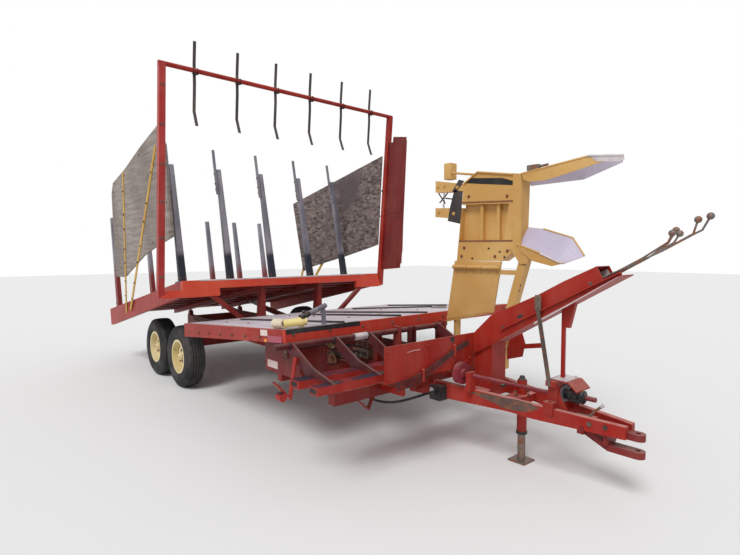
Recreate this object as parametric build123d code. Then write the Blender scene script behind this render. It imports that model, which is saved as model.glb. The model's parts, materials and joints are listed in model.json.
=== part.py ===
from build123d import *
import math
import os

# A tandem hay wagon that picks up, stacks and carries small bales.
# Millimetres. X points forward, Y to the left and Z up. Heights are written above the ground and
# lengths forward of the point midway between the tandem wheels, then everything is moved so that
# the hitch pin hole is the origin.

# Wheels and running gear
TYRE_RADIUS = 380.0
TYRE_WIDTH = 241.0
RIM_RADIUS = 190.0
RIM_FLANGE = 18.0
RIM_WIDTH = 203.0
RIM_SHEET = 8.0
WHEEL_Y = 1140.0
TANDEM_SPACING = 850.0
SPINDLE_RADIUS = 22.0
PIN_GAP = 0.05
SEAT_GAP = 0.3
BEAM_THICK = 60.0
BEAM_INNER_Y = 930.0
AXLE_SIZE = 100.0
AXLE_DROP = 20.0

# Main frame
RAIL_Y = 420.0
RAIL_WIDTH = 75.0
RAIL_DEPTH = 150.0
RAIL_BOTTOM = 520.0
RAIL_REAR = -1320.0
NOSE_X = 3725.0
NOSE_DEPTH = 75.0
CROSS_WIDTH = 60.0
CROSS_DEPTH = 100.0

# Load rack, tilted front high
RACK_TILT = 10.5
RACK_PIVOT_X = -1280.0
RACK_PIVOT_Z = 700.0
RACK_REAR = -665.0
RACK_FRONT = 2484.0
RACK_HALF = 1425.0
RACK_DECK_TOP = 200.0
DECK_THICK = 25.0
RACK_CROSS_DEPTH = 60.0
LONG_DEPTH = 60.0
SIDE_RAIL_THICK = 50.0
SIDE_RAIL_REAR_DEPTH = 250.0
SIDE_RAIL_FRONT_DEPTH = 170.0
END_BOX_DEPTH = 185.0
END_BOX_LENGTH = 420.0
FRONT_BEAM_DEPTH = 95.0
FRONT_BEAM_WIDTH = 60.0
BOARD_GAP = 40.0
BOARD_COUNT = 9
REAR_TINE_SPACING = 520.0
REAR_TINE_HEIGHT = 1450.0
REAR_TINE_BASE = 120.0
REAR_TINE_TOP = 45.0
REAR_TINE_WIDTH = 60.0
PIVOT_RADIUS = 20.0

# Rolling rack that slides back along the load rack
ROLL_U = 1939.0
ROLL_BAR = 60.0
ROLL_HALF = 1300.0
TALL_TINE_SPACING = 610.0
TALL_TINE_LOW = 1519.0
TALL_TINE_HIGH = 1787.0
TALL_TINE_BASE = 85.0
TALL_TINE_NECK = 48.0
TALL_TINE_DEPTH = 60.0
TALL_TINE_LEAN = 2.0

# Gantry over the front of the load rack; both posts lean, the left one the more
GANTRY_TOP_X = 1160.0
GANTRY_TOP_Z = 3623.0
GANTRY_FOOT_X = 1120.0
GANTRY_FOOT_Z = 1182.0
RIGHT_HEAD_Y = 1603.0
RIGHT_FOOT_Y = 1655.0
LEFT_HEAD_Y = 1626.0
LEFT_FOOT_Y = 1465.0
POST_SIZE = 66.0
BAR_OVERHANG = 36.0
BAR_RADIUS = 25.0
HOOK_SPACING = 500.0
HOOK_COUNT = 6
HOOK_WIDTH = 32.0
HOOK_THICK = 10.0
HOOK_BITE = 5.0
PANEL_THICK = 18.0
GUIDE_THICK = 6.0
BRACE_WIDTH = 50.0
BRACE_THICK = 8.0

# Second table
TABLE_TILT = 4.79
TABLE_PIVOT_X = 1300.0
TABLE_PIVOT_Z = 813.0
TABLE_TOP = 90.0
TABLE_REAR = -58.0
TABLE_FRONT = 2026.0
TABLE_HALF = 1453.0
TABLE_SIDE_DEPTH = 140.0
TABLE_SIDE_THICK = 40.0
TABLE_FRONT_DEPTH = 100.0
TABLE_DECK = 12.0
TABLE_CROSS_DEPTH = 70.0

# First table
FIRST_PIVOT_X = 3400.0
FIRST_PIVOT_Z = 965.0
FIRST_TOP_Z = 785.0
FIRST_RIGHT_Y = -1600.0
FIRST_LEFT_Y = 180.0
FIRST_TUBE_RADIUS = 24.0

# Loader, folded up beside the first table
LOADER_PIVOT_Y = 460.0
LOADER_PIVOT_Z = 770.0
LOADER_FACE_Y = 360.0

# Tongue, hitch, boom and jack
HITCH_X = 5292.0
HITCH_Z = 400.0
HITCH_HOLE = 16.5
JAW_THICK = 45.0
JAW_GAP = 70.0
JAW_HALF = 45.0
TONGUE_REAR_X = 3560.0
TONGUE_WIDE_X = 3800.0
TONGUE_WIDE_Y = 300.0
TONGUE_TIP_X = 5240.0
TONGUE_TIP_Y = 50.0
TONGUE_WIDTH = 50.0
JACK_X = 4400.0
JACK_Y = 50.0
JACK_TUBE_RADIUS = 38.0
JACK_TUBE_BOTTOM = 220.0
JACK_LEG_RADIUS = 30.0
JACK_LEG_TOP = 425.0
JACK_STROKE = 200.0
JACK_FOOT_THICK = 12.0
SHIELD_X = 4030.0
SHIELD_THICK = 8.0
BOOM_NEAR_Y = -100.0
BOOM_FAR_Y = 90.0
BOOM_SHEET = 6.0
FOLD_OUT = 25.0
FOLD_DEPTH = 10.0

# Drive on the tongue
PEDESTAL_REAR = 4706.0
PEDESTAL_FRONT = 4781.0
PEDESTAL_HALF = 100.0
PEDESTAL_TOP = 745.0
INPUT_RADIUS = 17.45
INPUT_Z = 635.0
SHEAVE_X = 4073.0
SHEAVE_Y = -300.0
SHEAVE_Z = 702.0
SHEAVE_RADIUS = 84.0
SHEAVE_HALF = 20.0
SHAFT_RADIUS = 14.0

# Hydraulic cylinders and hoses
CYLINDER_PIN = 12.0
CYLINDER_Z = 700.0
EYE_THICK = 40.0
EYE_RADIUS = 25.0
LUG_GAP = 2.0
HOSE_RADIUS = 10.0

# Sizes that follow from those above
RAIL_TOP = RAIL_BOTTOM + RAIL_DEPTH
RAIL_INNER = RAIL_Y - RAIL_WIDTH / 2
RAIL_OUTER = RAIL_Y + RAIL_WIDTH / 2
AXLE_Z = TYRE_RADIUS
NOSE_FRONT = NOSE_X + NOSE_DEPTH

os.makedirs("parts", exist_ok=True)
PIECES = {}


def block(x0, x1, y0, y1, z0, z1):
    """Box between two corners."""
    middle = ((x0 + x1) / 2, (y0 + y1) / 2, (z0 + z1) / 2)
    return Pos(*middle) * Box(abs(x1 - x0), abs(y1 - y0), abs(z1 - z0))


def beam(start, end, width, depth, side=(0, 1, 0)):
    """Flat-sided bar from start to end; width runs along side."""
    run = Vector(*end) - Vector(*start)
    place = Plane(origin=start, x_dir=side, z_dir=run)
    return extrude(place * Rectangle(width, depth), amount=run.length)


def rod(start, end, radius, bore=0.0):
    """Round bar or tube from start to end."""
    run = Vector(*end) - Vector(*start)
    place = Plane(origin=start, z_dir=run)
    section = Circle(radius) - Circle(bore) if bore else Circle(radius)
    return extrude(place * section, amount=run.length)


def plate_xz(points, y0, y1):
    """Plate with an outline in x and z, between two values of y."""
    outline = make_face(Polyline(*[(x, z) for x, z in points], close=True))
    place = Plane(origin=(0, max(y0, y1), 0), x_dir=(1, 0, 0), z_dir=(0, -1, 0))
    return extrude(place * outline, amount=abs(y1 - y0))


def mirrored(shape):
    """The same piece on the other side of the wagon."""
    return mirror(shape, about=Plane.XZ)


def both(shape):
    """A piece and its mirror image, as two solids."""
    return [shape, mirrored(shape)]


def keep(name, *pieces):
    """File the solids of one node; a second call adds to the same node."""
    for piece in pieces:
        for shape in piece if isinstance(piece, (list, tuple)) else [piece]:
            PIECES.setdefault(name, []).extend(shape.solids())


def tilted(angle, x, z):
    """Frame of a deck: first axis forward along it, third axis square to it."""
    slope = math.radians(angle)
    return Plane(origin=(x, 0, z), x_dir=(math.cos(slope), 0, math.sin(slope)),
                 z_dir=(-math.sin(slope), 0, math.cos(slope))).location


RACK = tilted(RACK_TILT, RACK_PIVOT_X, RACK_PIVOT_Z)
TABLE = tilted(TABLE_TILT, TABLE_PIVOT_X, TABLE_PIVOT_Z)


# Wheels
def tyre():
    """Ribbed implement tyre round its own axle, which runs along y."""
    half = TYRE_WIDTH / 2
    seat = RIM_WIDTH / 2 - RIM_SHEET
    bead = RIM_RADIUS + SEAT_GAP
    with BuildSketch() as section:
        with BuildLine():
            Polyline((bead, -seat), (RIM_RADIUS + RIM_FLANGE, -seat))
            ThreePointArc((RIM_RADIUS + RIM_FLANGE, -seat), (285, -half), (345, -half * 0.86))
            Polyline((345, -half * 0.86), (372, -half * 0.72), (TYRE_RADIUS, -half * 0.5),
                     (TYRE_RADIUS, half * 0.5), (372, half * 0.72), (345, half * 0.86))
            ThreePointArc((345, half * 0.86), (285, half), (RIM_RADIUS + RIM_FLANGE, seat))
            Polyline((RIM_RADIUS + RIM_FLANGE, seat), (bead, seat), (bead, -seat))
        make_face()
    return revolve(section.sketch, axis=Axis.Y)


def rim():
    """Disc wheel with its hub, outer face towards +y."""
    edge = RIM_WIDTH / 2
    lip = RIM_RADIUS + RIM_FLANGE
    inner = RIM_RADIUS - RIM_SHEET
    barrel = Polyline((RIM_RADIUS, -edge + RIM_SHEET), (lip, -edge + RIM_SHEET), (lip, -edge),
                      (inner, -edge), (inner, edge), (lip, edge), (lip, edge - RIM_SHEET),
                      (RIM_RADIUS, edge - RIM_SHEET), close=True)
    dish = Polyline((inner + 2, 0), (inner + 2, 10), (140, 18), (110, 52), (40, 52), (40, 42),
                    (104, 42), (134, 8), close=True)
    hub = Polyline((SPINDLE_RADIUS + PIN_GAP, -60), (48, -60), (48, 75), (SPINDLE_RADIUS + PIN_GAP, 75),
                   close=True)
    cap = Polyline((0, 70), (30, 70), (30, 88), (22, 96), (0, 96), close=True)
    solid = revolve(make_face(barrel), axis=Axis.Y) + revolve(make_face(dish), axis=Axis.Y)
    solid += revolve(make_face(hub), axis=Axis.Y)
    solid += revolve(make_face(cap), axis=Axis.Y)
    for turn in range(5):
        angle = math.radians(72 * turn + 18)
        place = (74 * math.cos(angle), 0, 74 * math.sin(angle))
        solid += rod((place[0], 50, place[2]), (place[0], 66, place[2]), 9)
    return solid


# name, end of the walking beam (+1 front), side (+1 left)
WHEELS = [("front_right", 1, -1), ("rear_right", -1, -1), ("front_left", 1, 1), ("rear_left", -1, 1)]
TYRE = tyre()
RIM = rim()
for wheel, end, side in WHEELS:
    centre = Pos(end * TANDEM_SPACING / 2, side * WHEEL_Y, AXLE_Z)
    turn = Rot(0, 0, 0) if side > 0 else Rot(0, 0, 180)
    keep("tyre_" + wheel, centre * turn * TYRE)
    keep("rim_" + wheel, centre * turn * RIM)


def walking_beam():
    """Left beam that carries two wheels and rocks on the axle end."""
    half = TANDEM_SPACING / 2
    outline = [(-half - 50, AXLE_Z - 40), (-half + 40, AXLE_Z - 55), (half - 40, AXLE_Z - 55),
               (half + 50, AXLE_Z - 40), (half + 50, AXLE_Z + 30), (half - 20, AXLE_Z + 50),
               (110, AXLE_Z + 125), (-110, AXLE_Z + 125), (-half + 20, AXLE_Z + 50),
               (-half - 50, AXLE_Z + 30)]
    plate = plate_xz(outline, BEAM_INNER_Y, BEAM_INNER_Y + BEAM_THICK)
    for end in (-half, half):
        root = (end, BEAM_INNER_Y + BEAM_THICK, AXLE_Z)
        plate += rod(root, (end, WHEEL_Y - 62, AXLE_Z), 32)
        plate += rod(root, (end, WHEEL_Y + 66, AXLE_Z), SPINDLE_RADIUS)
    return plate


BEAM = walking_beam()
keep("walking_beams", BEAM)
keep("walking_beams", mirrored(BEAM))
AXLE_TOP = AXLE_Z + AXLE_DROP + AXLE_SIZE
AXLE = block(-AXLE_SIZE / 2, AXLE_SIZE / 2, -BEAM_INNER_Y, BEAM_INNER_Y, AXLE_Z + AXLE_DROP, AXLE_TOP)
SADDLE = block(-90, 90, RAIL_INNER, RAIL_OUTER, AXLE_TOP, RAIL_BOTTOM)
keep("axle_tube", AXLE + SADDLE + mirrored(SADDLE))

# Main frame
RAIL = block(RAIL_REAR, NOSE_X, RAIL_INNER, RAIL_OUTER, RAIL_BOTTOM, RAIL_TOP)
keep("frame_rails", both(RAIL))
CROSS_TOP = RAIL_TOP - 10
CROSS_X = [-1200, -500, 300, 960, 1700, 2450, 2950, 3230, 3400]
keep("frame_crossmembers", [block(x - CROSS_WIDTH / 2, x + CROSS_WIDTH / 2, -RAIL_INNER, RAIL_INNER,
                                  CROSS_TOP - CROSS_DEPTH, CROSS_TOP) for x in CROSS_X])
OUTRIGGER_BOTTOM = RAIL_TOP - 90
OUTRIGGER = block(NOSE_X, NOSE_FRONT, -1350, 520, OUTRIGGER_BOTTOM, RAIL_TOP)
keep("front_outrigger", OUTRIGGER)
VEE_X = (NOSE_X + NOSE_FRONT) / 2
VEE_LOW = (VEE_X, -1014, 484)
VEE = beam((VEE_X, -1197, RAIL_TOP - 30), VEE_LOW, 30, 12, side=(1, 0, 0))
VEE += beam((VEE_X, -923, RAIL_TOP - 30), VEE_LOW, 30, 12, side=(1, 0, 0))
keep("front_outrigger", VEE - OUTRIGGER)


def clevis(x, z, y, plate, gap, lug, radius, foot_z, half):
    """Two ears joined by their pin, round a lug that is lug thick and centred on y."""
    solid = rod((x, y - lug / 2 - gap - plate, z), (x, y + lug / 2 + gap + plate, z), radius)
    for side in (-1, 1):
        near = y + side * (lug / 2 + gap)
        far = near + side * plate
        ear = block(x - half, x + half, near, far, foot_z, z)
        solid += ear + rod((x, near, z), (x, far, z), half)
    return solid


def lug_plate(x, z, y, thick, radius, hole, top_z, half):
    """Plate with an eye at its lower end and a foot at top_z."""
    solid = block(x - half, x + half, y - thick / 2, y + thick / 2, z, top_z)
    solid += rod((x, y - thick / 2, z), (x, y + thick / 2, z), radius)
    return solid - rod((x, y - thick, z), (x, y + thick, z), hole)


LUG_THICK = 20.0
RACK_EARS = clevis(RACK_PIVOT_X, RACK_PIVOT_Z, RAIL_Y, 15, 2, LUG_THICK, PIVOT_RADIUS, RAIL_TOP, 38)
keep("pivot_ears", both(RACK_EARS - RAIL))
TABLE_EARS = clevis(TABLE_PIVOT_X, TABLE_PIVOT_Z, RAIL_Y, 15, 2, LUG_THICK, PIVOT_RADIUS, RAIL_TOP, 38)
keep("pivot_ears", both(TABLE_EARS - RAIL))

# Load rack in its own frame
BOARD_BOTTOM = RACK_DECK_TOP - DECK_THICK
CROSS_BOTTOM = BOARD_BOTTOM - RACK_CROSS_DEPTH
LONG_BOTTOM = CROSS_BOTTOM - LONG_DEPTH
RACK_INNER = RACK_HALF - SIDE_RAIL_THICK
BEAM_REAR = RACK_FRONT - FRONT_BEAM_WIDTH
TINE_FRONT = RACK_REAR + REAR_TINE_BASE
BOARD_REAR = TINE_FRONT + 5
SIDE_OUTLINE = [(RACK_REAR, RACK_DECK_TOP), (BEAM_REAR, RACK_DECK_TOP),
                (BEAM_REAR, RACK_DECK_TOP - SIDE_RAIL_FRONT_DEPTH),
                (RACK_REAR, RACK_DECK_TOP - SIDE_RAIL_REAR_DEPTH)]
SIDE = plate_xz(SIDE_OUTLINE, RACK_INNER, RACK_HALF)
keep("rack_side_rails", [RACK * s for s in both(SIDE)])
LONG = block(RACK_REAR, BEAM_REAR, RAIL_Y - 30, RAIL_Y + 30, LONG_BOTTOM, CROSS_BOTTOM)
LONG += lug_plate(0, 0, RAIL_Y, LUG_THICK, 25, PIVOT_RADIUS + PIN_GAP, LONG_BOTTOM, 25)
keep("rack_underframe", [RACK * s for s in both(LONG)])
RACK_CROSS_U = [-360, 0, 350, 700, 1050, 1400, 1750, 2100]
keep("rack_underframe", [RACK * block(u - 30, u + 30, -RACK_INNER, RACK_INNER, CROSS_BOTTOM, BOARD_BOTTOM)
                           for u in RACK_CROSS_U],
     RACK * block(RACK_REAR, TINE_FRONT, -RACK_INNER, RACK_INNER, CROSS_BOTTOM, BOARD_BOTTOM))
BOARD_WIDTH = (2 * RACK_INNER - (BOARD_COUNT - 1) * BOARD_GAP - 10) / BOARD_COUNT
BOARD_PITCH = BOARD_WIDTH + BOARD_GAP
keep("rack_deck_boards", [RACK * block(BOARD_REAR, BEAM_REAR, y - BOARD_WIDTH / 2, y + BOARD_WIDTH / 2,
                                       BOARD_BOTTOM, RACK_DECK_TOP)
                          for y in [(i - (BOARD_COUNT - 1) / 2) * BOARD_PITCH for i in range(BOARD_COUNT)]])
FRONT_BEAM = block(BEAM_REAR, RACK_FRONT, -RACK_HALF, RACK_HALF,
                   RACK_DECK_TOP - FRONT_BEAM_DEPTH, RACK_DECK_TOP)
for side in (-1, 1):
    FRONT_BEAM += block(BEAM_REAR, RACK_FRONT, side * (RACK_HALF - END_BOX_LENGTH), side * RACK_HALF,
                        RACK_DECK_TOP - END_BOX_DEPTH, RACK_DECK_TOP)
keep("rack_front_beam", RACK * FRONT_BEAM)
TINE_OUTLINE = [(RACK_REAR, BOARD_BOTTOM), (TINE_FRONT, BOARD_BOTTOM), (TINE_FRONT, BOARD_BOTTOM + 60),
                (RACK_REAR + REAR_TINE_TOP, RACK_DECK_TOP + REAR_TINE_HEIGHT),
                (RACK_REAR, RACK_DECK_TOP + REAR_TINE_HEIGHT)]
REAR_TINE = plate_xz(TINE_OUTLINE, -REAR_TINE_WIDTH / 2, REAR_TINE_WIDTH / 2)
keep("rear_tines", [RACK * Pos(0, (i - 2.5) * REAR_TINE_SPACING, 0) * REAR_TINE for i in range(6)])

# Rolling rack
ROLL_BOTTOM = RACK_DECK_TOP + SEAT_GAP
ROLL_TOP = ROLL_BOTTOM + ROLL_BAR
CARRIAGE = block(ROLL_U - ROLL_BAR / 2, ROLL_U + ROLL_BAR / 2, -ROLL_HALF, ROLL_HALF, ROLL_BOTTOM, ROLL_TOP)
for side in (-1, 1):
    guide_y = side * 1.5 * BOARD_PITCH
    CARRIAGE += block(ROLL_U - ROLL_BAR, ROLL_U + ROLL_BAR, guide_y - 12, guide_y + 12,
                      BOARD_BOTTOM + 5, ROLL_BOTTOM + 20)
keep("rolling_carriage", RACK * CARRIAGE)


def tall_tine(y):
    """Tapered lower channel with a slim extension bolted beside its top."""
    low = RACK_DECK_TOP + TALL_TINE_LOW
    high = RACK_DECK_TOP + TALL_TINE_HIGH
    base = TALL_TINE_BASE / 2
    neck = TALL_TINE_NECK / 2
    outline = Polyline((y - base, ROLL_TOP), (y + base, ROLL_TOP), (y + neck, low), (y - neck, low),
                       close=True)
    place = Plane(origin=(-TALL_TINE_DEPTH / 2, 0, 0), x_dir=(0, 1, 0), z_dir=(1, 0, 0))
    lower = extrude(place * make_face(outline), amount=TALL_TINE_DEPTH)
    edge = y - neck - 34
    upper = block(-12, 12, edge, edge + 30, low - 330, high)
    return lower, upper


def leaning(shape):
    """Tine leant back a little about the foot on the carriage."""
    return Pos(ROLL_U, 0, ROLL_TOP) * Rot(0, -TALL_TINE_LEAN, 0) * Pos(0, 0, -ROLL_TOP) * shape


TALL = [tall_tine((i - 2) * TALL_TINE_SPACING) for i in range(5)]
TALL_LOW = [leaning(low) - block(ROLL_U - 99, ROLL_U + 99, -1400, 1400, 0, ROLL_TOP) for low, high in TALL]
keep("tall_tines", [RACK * s for s in TALL_LOW])
keep("tall_tines", [RACK * (leaning(high) - leaning(low)) for low, high in TALL])

# Gantry
RIGHT_FOOT = (GANTRY_FOOT_X, -RIGHT_FOOT_Y, GANTRY_FOOT_Z)
RIGHT_HEAD = (GANTRY_TOP_X, -RIGHT_HEAD_Y, GANTRY_TOP_Z)
LEFT_FOOT = (GANTRY_FOOT_X, LEFT_FOOT_Y, GANTRY_FOOT_Z)
LEFT_HEAD = (GANTRY_TOP_X, LEFT_HEAD_Y, GANTRY_TOP_Z)
BAR = rod((GANTRY_TOP_X, -RIGHT_HEAD_Y - BAR_OVERHANG, GANTRY_TOP_Z),
          (GANTRY_TOP_X, LEFT_HEAD_Y + BAR_OVERHANG, GANTRY_TOP_Z), BAR_RADIUS)
keep("gantry_bar", BAR)
POST_RIGHT = beam(RIGHT_FOOT, RIGHT_HEAD, POST_SIZE, POST_SIZE, side=(1, 0, 0)) - BAR
POST_LEFT = beam(LEFT_FOOT, LEFT_HEAD, POST_SIZE, POST_SIZE, side=(1, 0, 0)) - BAR
keep("gantry_post_right", POST_RIGHT)
keep("gantry_post_left", POST_LEFT)


def hook(y):
    """Flat hook that hangs on the rear of the bar, its lower tip bent forwards."""
    rear_x = GANTRY_TOP_X - BAR_RADIUS - HOOK_THICK + HOOK_BITE
    rear = [(rear_x + 25, 3936), (rear_x, 3700), (rear_x, 3480), (rear_x - 25, 3200), (rear_x + 46, 3030)]
    front = [(x + HOOK_THICK, z) for x, z in reversed(rear)]
    seat = rod((GANTRY_TOP_X, y - HOOK_WIDTH, GANTRY_TOP_Z), (GANTRY_TOP_X, y + HOOK_WIDTH, GANTRY_TOP_Z),
               BAR_RADIUS + SEAT_GAP)
    return plate_xz(rear + front, y - HOOK_WIDTH / 2, y + HOOK_WIDTH / 2) - seat


keep("gantry_hooks", [hook((i - (HOOK_COUNT - 1) / 2) * HOOK_SPACING) for i in range(HOOK_COUNT)])
FOOT_BRACKET = (RACK_FRONT - 50, RACK_FRONT, 20, 95)


def foot_bracket(foot_y):
    """Short beam from the rack's side to a gantry post, on the left side."""
    rear, front, low, high = FOOT_BRACKET
    return RACK * block(rear, front, RACK_HALF, foot_y, low, high)


keep("rack_front_beam", foot_bracket(LEFT_FOOT_Y) - POST_LEFT,
     mirrored(foot_bracket(RIGHT_FOOT_Y)) - POST_RIGHT)

# Side panels and braces, in planes that lean outwards. Each plane is given on the right side by
# the y and z of one line and by how far it leans out for each unit of height. The guide sheet has
# a plane of its own, further out, so that the raised second table passes inside it.
RIGHT_LEAN = (-1583.3, 3000.0, 0.0716)
GUIDE_LEAN = (-1462.5, 1186.0, 0.0661)
LEFT_SLOPE = (LEFT_HEAD_Y - LEFT_FOOT_Y) / (GANTRY_TOP_Z - GANTRY_FOOT_Z)
LEFT_LEAN = (-LEFT_FOOT_Y + POST_SIZE / 2 * math.hypot(1, LEFT_SLOPE), GANTRY_FOOT_Z, LEFT_SLOPE)


def lean_plate(points, lean, thick):
    """Plate in a leaning plane; a positive thickness goes inboard of the plane, a negative outboard."""
    line_y, line_z, slope = lean
    norm = math.hypot(1, slope)
    place = Plane(origin=(0, line_y, line_z), x_dir=(1, 0, 0), z_dir=(0, 1, slope))
    outline = make_face(Polyline(*[(x, (line_z - z) * norm) for x, z in points], close=True))
    return extrude(place * outline, amount=thick)


def strip(start, end, width):
    """Outline of a flat bar between two points of a panel's plane."""
    run = math.hypot(end[0] - start[0], end[1] - start[1])
    off_x = -(end[1] - start[1]) / run * width / 2
    off_z = (end[0] - start[0]) / run * width / 2
    return [(start[0] + off_x, start[1] + off_z), (end[0] + off_x, end[1] + off_z),
            (end[0] - off_x, end[1] - off_z), (start[0] - off_x, start[1] - off_z)]


PANEL_FRONT_X = 1085.0
RIGHT_PANEL = [(-1200, 2484), (-1074, 2622), (-435, 2737), (260, 2904), (PANEL_FRONT_X, 3065),
               (PANEL_FRONT_X, 1830), (457, 1717), (13, 1620), (-952, 1312), (-1409, 1306), (-1295, 2019)]
LEFT_PANEL = [(-1299, 2532), (1063, 3053), (PANEL_FRONT_X, 3056), (PANEL_FRONT_X, 1765), (349, 1596),
              (-645, 1398), (-858, 1323)]
keep("side_panel_right", lean_plate(RIGHT_PANEL, RIGHT_LEAN, PANEL_THICK) - POST_RIGHT)
keep("side_panel_left", mirrored(lean_plate(LEFT_PANEL, LEFT_LEAN, PANEL_THICK)) - POST_LEFT)
# foot x, foot z, head x, head z
BRACES = [(-1046, 800, -523, 2710), (-821, 860, 811, 2827)]
SIDE_LEFT = RACK * SIDE
SIDE_RIGHT = RACK * mirrored(SIDE)
ABOVE_RACK = RACK * block(-3000, 3000, -2000, 2000, RACK_DECK_TOP, 4000)


def brace(foot_x, foot_z, head_x, head_z, lean):
    """Flat bar on the outer face of a panel's plane."""
    return lean_plate(strip((foot_x, foot_z), (head_x, head_z), BRACE_WIDTH), lean, -BRACE_THICK)


REAR_RIGHT = brace(*BRACES[0], RIGHT_LEAN) - SIDE_RIGHT
FRONT_RIGHT = brace(*BRACES[1], RIGHT_LEAN) - SIDE_RIGHT - POST_RIGHT
keep("panel_braces", REAR_RIGHT, FRONT_RIGHT)
for bar in BRACES:
    keep("panel_braces", (mirrored(brace(*bar, LEFT_LEAN)) - POST_LEFT) & ABOVE_RACK)
GUIDE_SHEET = [(1123, 1400), (1531, 1436), (1566, 1690), (1537, 2512), (1535, 3269), (1267, 3315),
               (1262, 3240), (1150, 3240)]
keep("guide_sheet", mirrored(lean_plate(GUIDE_SHEET, GUIDE_LEAN, GUIDE_THICK)) - POST_LEFT)

# Stands and struts that carry the load rack at rest
UNDER_RACK = RACK * block(0, 3000, -1600, 1600, LONG_BOTTOM - SEAT_GAP, 900)
STAND = plate_xz([(930, RAIL_TOP), (1100, RAIL_TOP), (1085, 1260), (1015, 1260)], RAIL_Y - 30, RAIL_Y + 30)
keep("frame_stands", both(STAND - UNDER_RACK))
END_BOX_BOTTOM = RACK_DECK_TOP - END_BOX_DEPTH
UNDER_BOX = RACK * block(0, 3000, -1600, 1600, END_BOX_BOTTOM - SEAT_GAP, 900)
STRUT = beam((1130, RAIL_Y, 620), (1130, 1110, 1190), 50, 50, side=(1, 0, 0))
keep("frame_stands", both(STRUT - UNDER_BOX - RAIL))

# Second table, in its own frame
TABLE_BEAM_REAR = TABLE_FRONT - 40
TABLE_INNER = TABLE_HALF - TABLE_SIDE_THICK
TABLE_SHEET_BOTTOM = TABLE_TOP - TABLE_DECK
TABLE_CROSS_BOTTOM = TABLE_SHEET_BOTTOM - TABLE_CROSS_DEPTH
TABLE_SIDE = plate_xz([(TABLE_REAR, TABLE_TOP), (TABLE_BEAM_REAR, TABLE_TOP),
                       (TABLE_BEAM_REAR, TABLE_TOP - TABLE_FRONT_DEPTH),
                       (TABLE_REAR, TABLE_TOP - TABLE_SIDE_DEPTH)], TABLE_INNER, TABLE_HALF)
keep("second_table_sides", [TABLE * s for s in both(TABLE_SIDE)])
keep("second_table_front_beam", TABLE * block(TABLE_BEAM_REAR, TABLE_FRONT, -TABLE_HALF, TABLE_HALF,
                                              TABLE_TOP - TABLE_FRONT_DEPTH, TABLE_TOP))
TABLE_LONG = block(60, TABLE_BEAM_REAR, RAIL_Y - 30, RAIL_Y + 30, -52, TABLE_CROSS_BOTTOM)
TABLE_LONG += block(0, 60, RAIL_Y - LUG_THICK / 2, RAIL_Y + LUG_THICK / 2, -25, 25)
TABLE_LONG += rod((0, RAIL_Y - LUG_THICK / 2, 0), (0, RAIL_Y + LUG_THICK / 2, 0), 30)
TABLE_LONG -= rod((0, RAIL_Y - 60, 0), (0, RAIL_Y + 60, 0), PIVOT_RADIUS + PIN_GAP)
keep("second_table_frame", [TABLE * s for s in both(TABLE_LONG)])
REST_SETBACK = 79.0
TABLE_REST_U = TABLE_BEAM_REAR - REST_SETBACK
TABLE_CYLINDER_U = 700.0
TABLE_CROSS_U = [150, 425, TABLE_CYLINDER_U, 1100, 1500, TABLE_REST_U]
keep("second_table_frame",
     [TABLE * block(u - 30, u + 30, -TABLE_INNER, TABLE_INNER, TABLE_CROSS_BOTTOM, TABLE_SHEET_BOTTOM)
      for u in TABLE_CROSS_U],
     TABLE * block(TABLE_REAR, TABLE_REAR + 40, -TABLE_INNER, TABLE_INNER, 50, TABLE_SHEET_BOTTOM))
SHEET_EDGES = [TABLE_REAR, 425, 900, 1500, TABLE_BEAM_REAR]
keep("second_table_deck", [TABLE * block(rear + 4, front - 4, -TABLE_INNER, TABLE_INNER, TABLE_SHEET_BOTTOM,
                                         TABLE_TOP) for rear, front in zip(SHEET_EDGES, SHEET_EDGES[1:])])
UNDER_TABLE = TABLE * block(0, 3000, -1600, 1600, TABLE_CROSS_BOTTOM - SEAT_GAP - 60, 900)
REST_X = TABLE_PIVOT_X + TABLE_REST_U * math.cos(math.radians(TABLE_TILT))
REST = block(REST_X - 30, REST_X + 30, RAIL_Y - 30, RAIL_Y + 30, RAIL_TOP, 1000)
keep("frame_stands", both(REST - UNDER_TABLE))

# First table
TUBE = rod((FIRST_PIVOT_X, FIRST_RIGHT_Y, FIRST_PIVOT_Z), (FIRST_PIVOT_X, 280, FIRST_PIVOT_Z),
           FIRST_TUBE_RADIUS)
keep("first_table_arms", TUBE)
WIDE_TUBE = rod((FIRST_PIVOT_X, -1700, FIRST_PIVOT_Z), (FIRST_PIVOT_X, 380, FIRST_PIVOT_Z),
                FIRST_TUBE_RADIUS + SEAT_GAP)
BORE_TUBE = rod((FIRST_PIVOT_X, -1700, FIRST_PIVOT_Z), (FIRST_PIVOT_X, 380, FIRST_PIVOT_Z),
                FIRST_TUBE_RADIUS + PIN_GAP)
HANGER = [(3345, CROSS_TOP), (3455, CROSS_TOP), (3440, 1005), (3360, 1005)]
keep("frame_stands", [plate_xz(HANGER, y - 10, y + 10) - BORE_TUBE for y in (-360, 240)])
FIRST_BOTTOM = FIRST_TOP_Z - 55
keep("first_table_beams", block(3620, 3730, FIRST_RIGHT_Y, FIRST_LEFT_Y, FIRST_BOTTOM, FIRST_TOP_Z))
keep("first_table_beams", block(3860, 3950, FIRST_RIGHT_Y, FIRST_LEFT_Y, FIRST_BOTTOM, FIRST_TOP_Z))
ARM = [(3380, 935), (3420, 995), (3700, 850), (3950, FIRST_TOP_Z), (3620, FIRST_TOP_Z)]
ARM_Y = [-1460, -1050, -700, 150]
keep("first_table_arms", [plate_xz(ARM, y - 10, y + 10) - WIDE_TUBE for y in ARM_Y])
STOP_X = 3500.0
STOP_Y = ARM_Y[0] - 10
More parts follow.
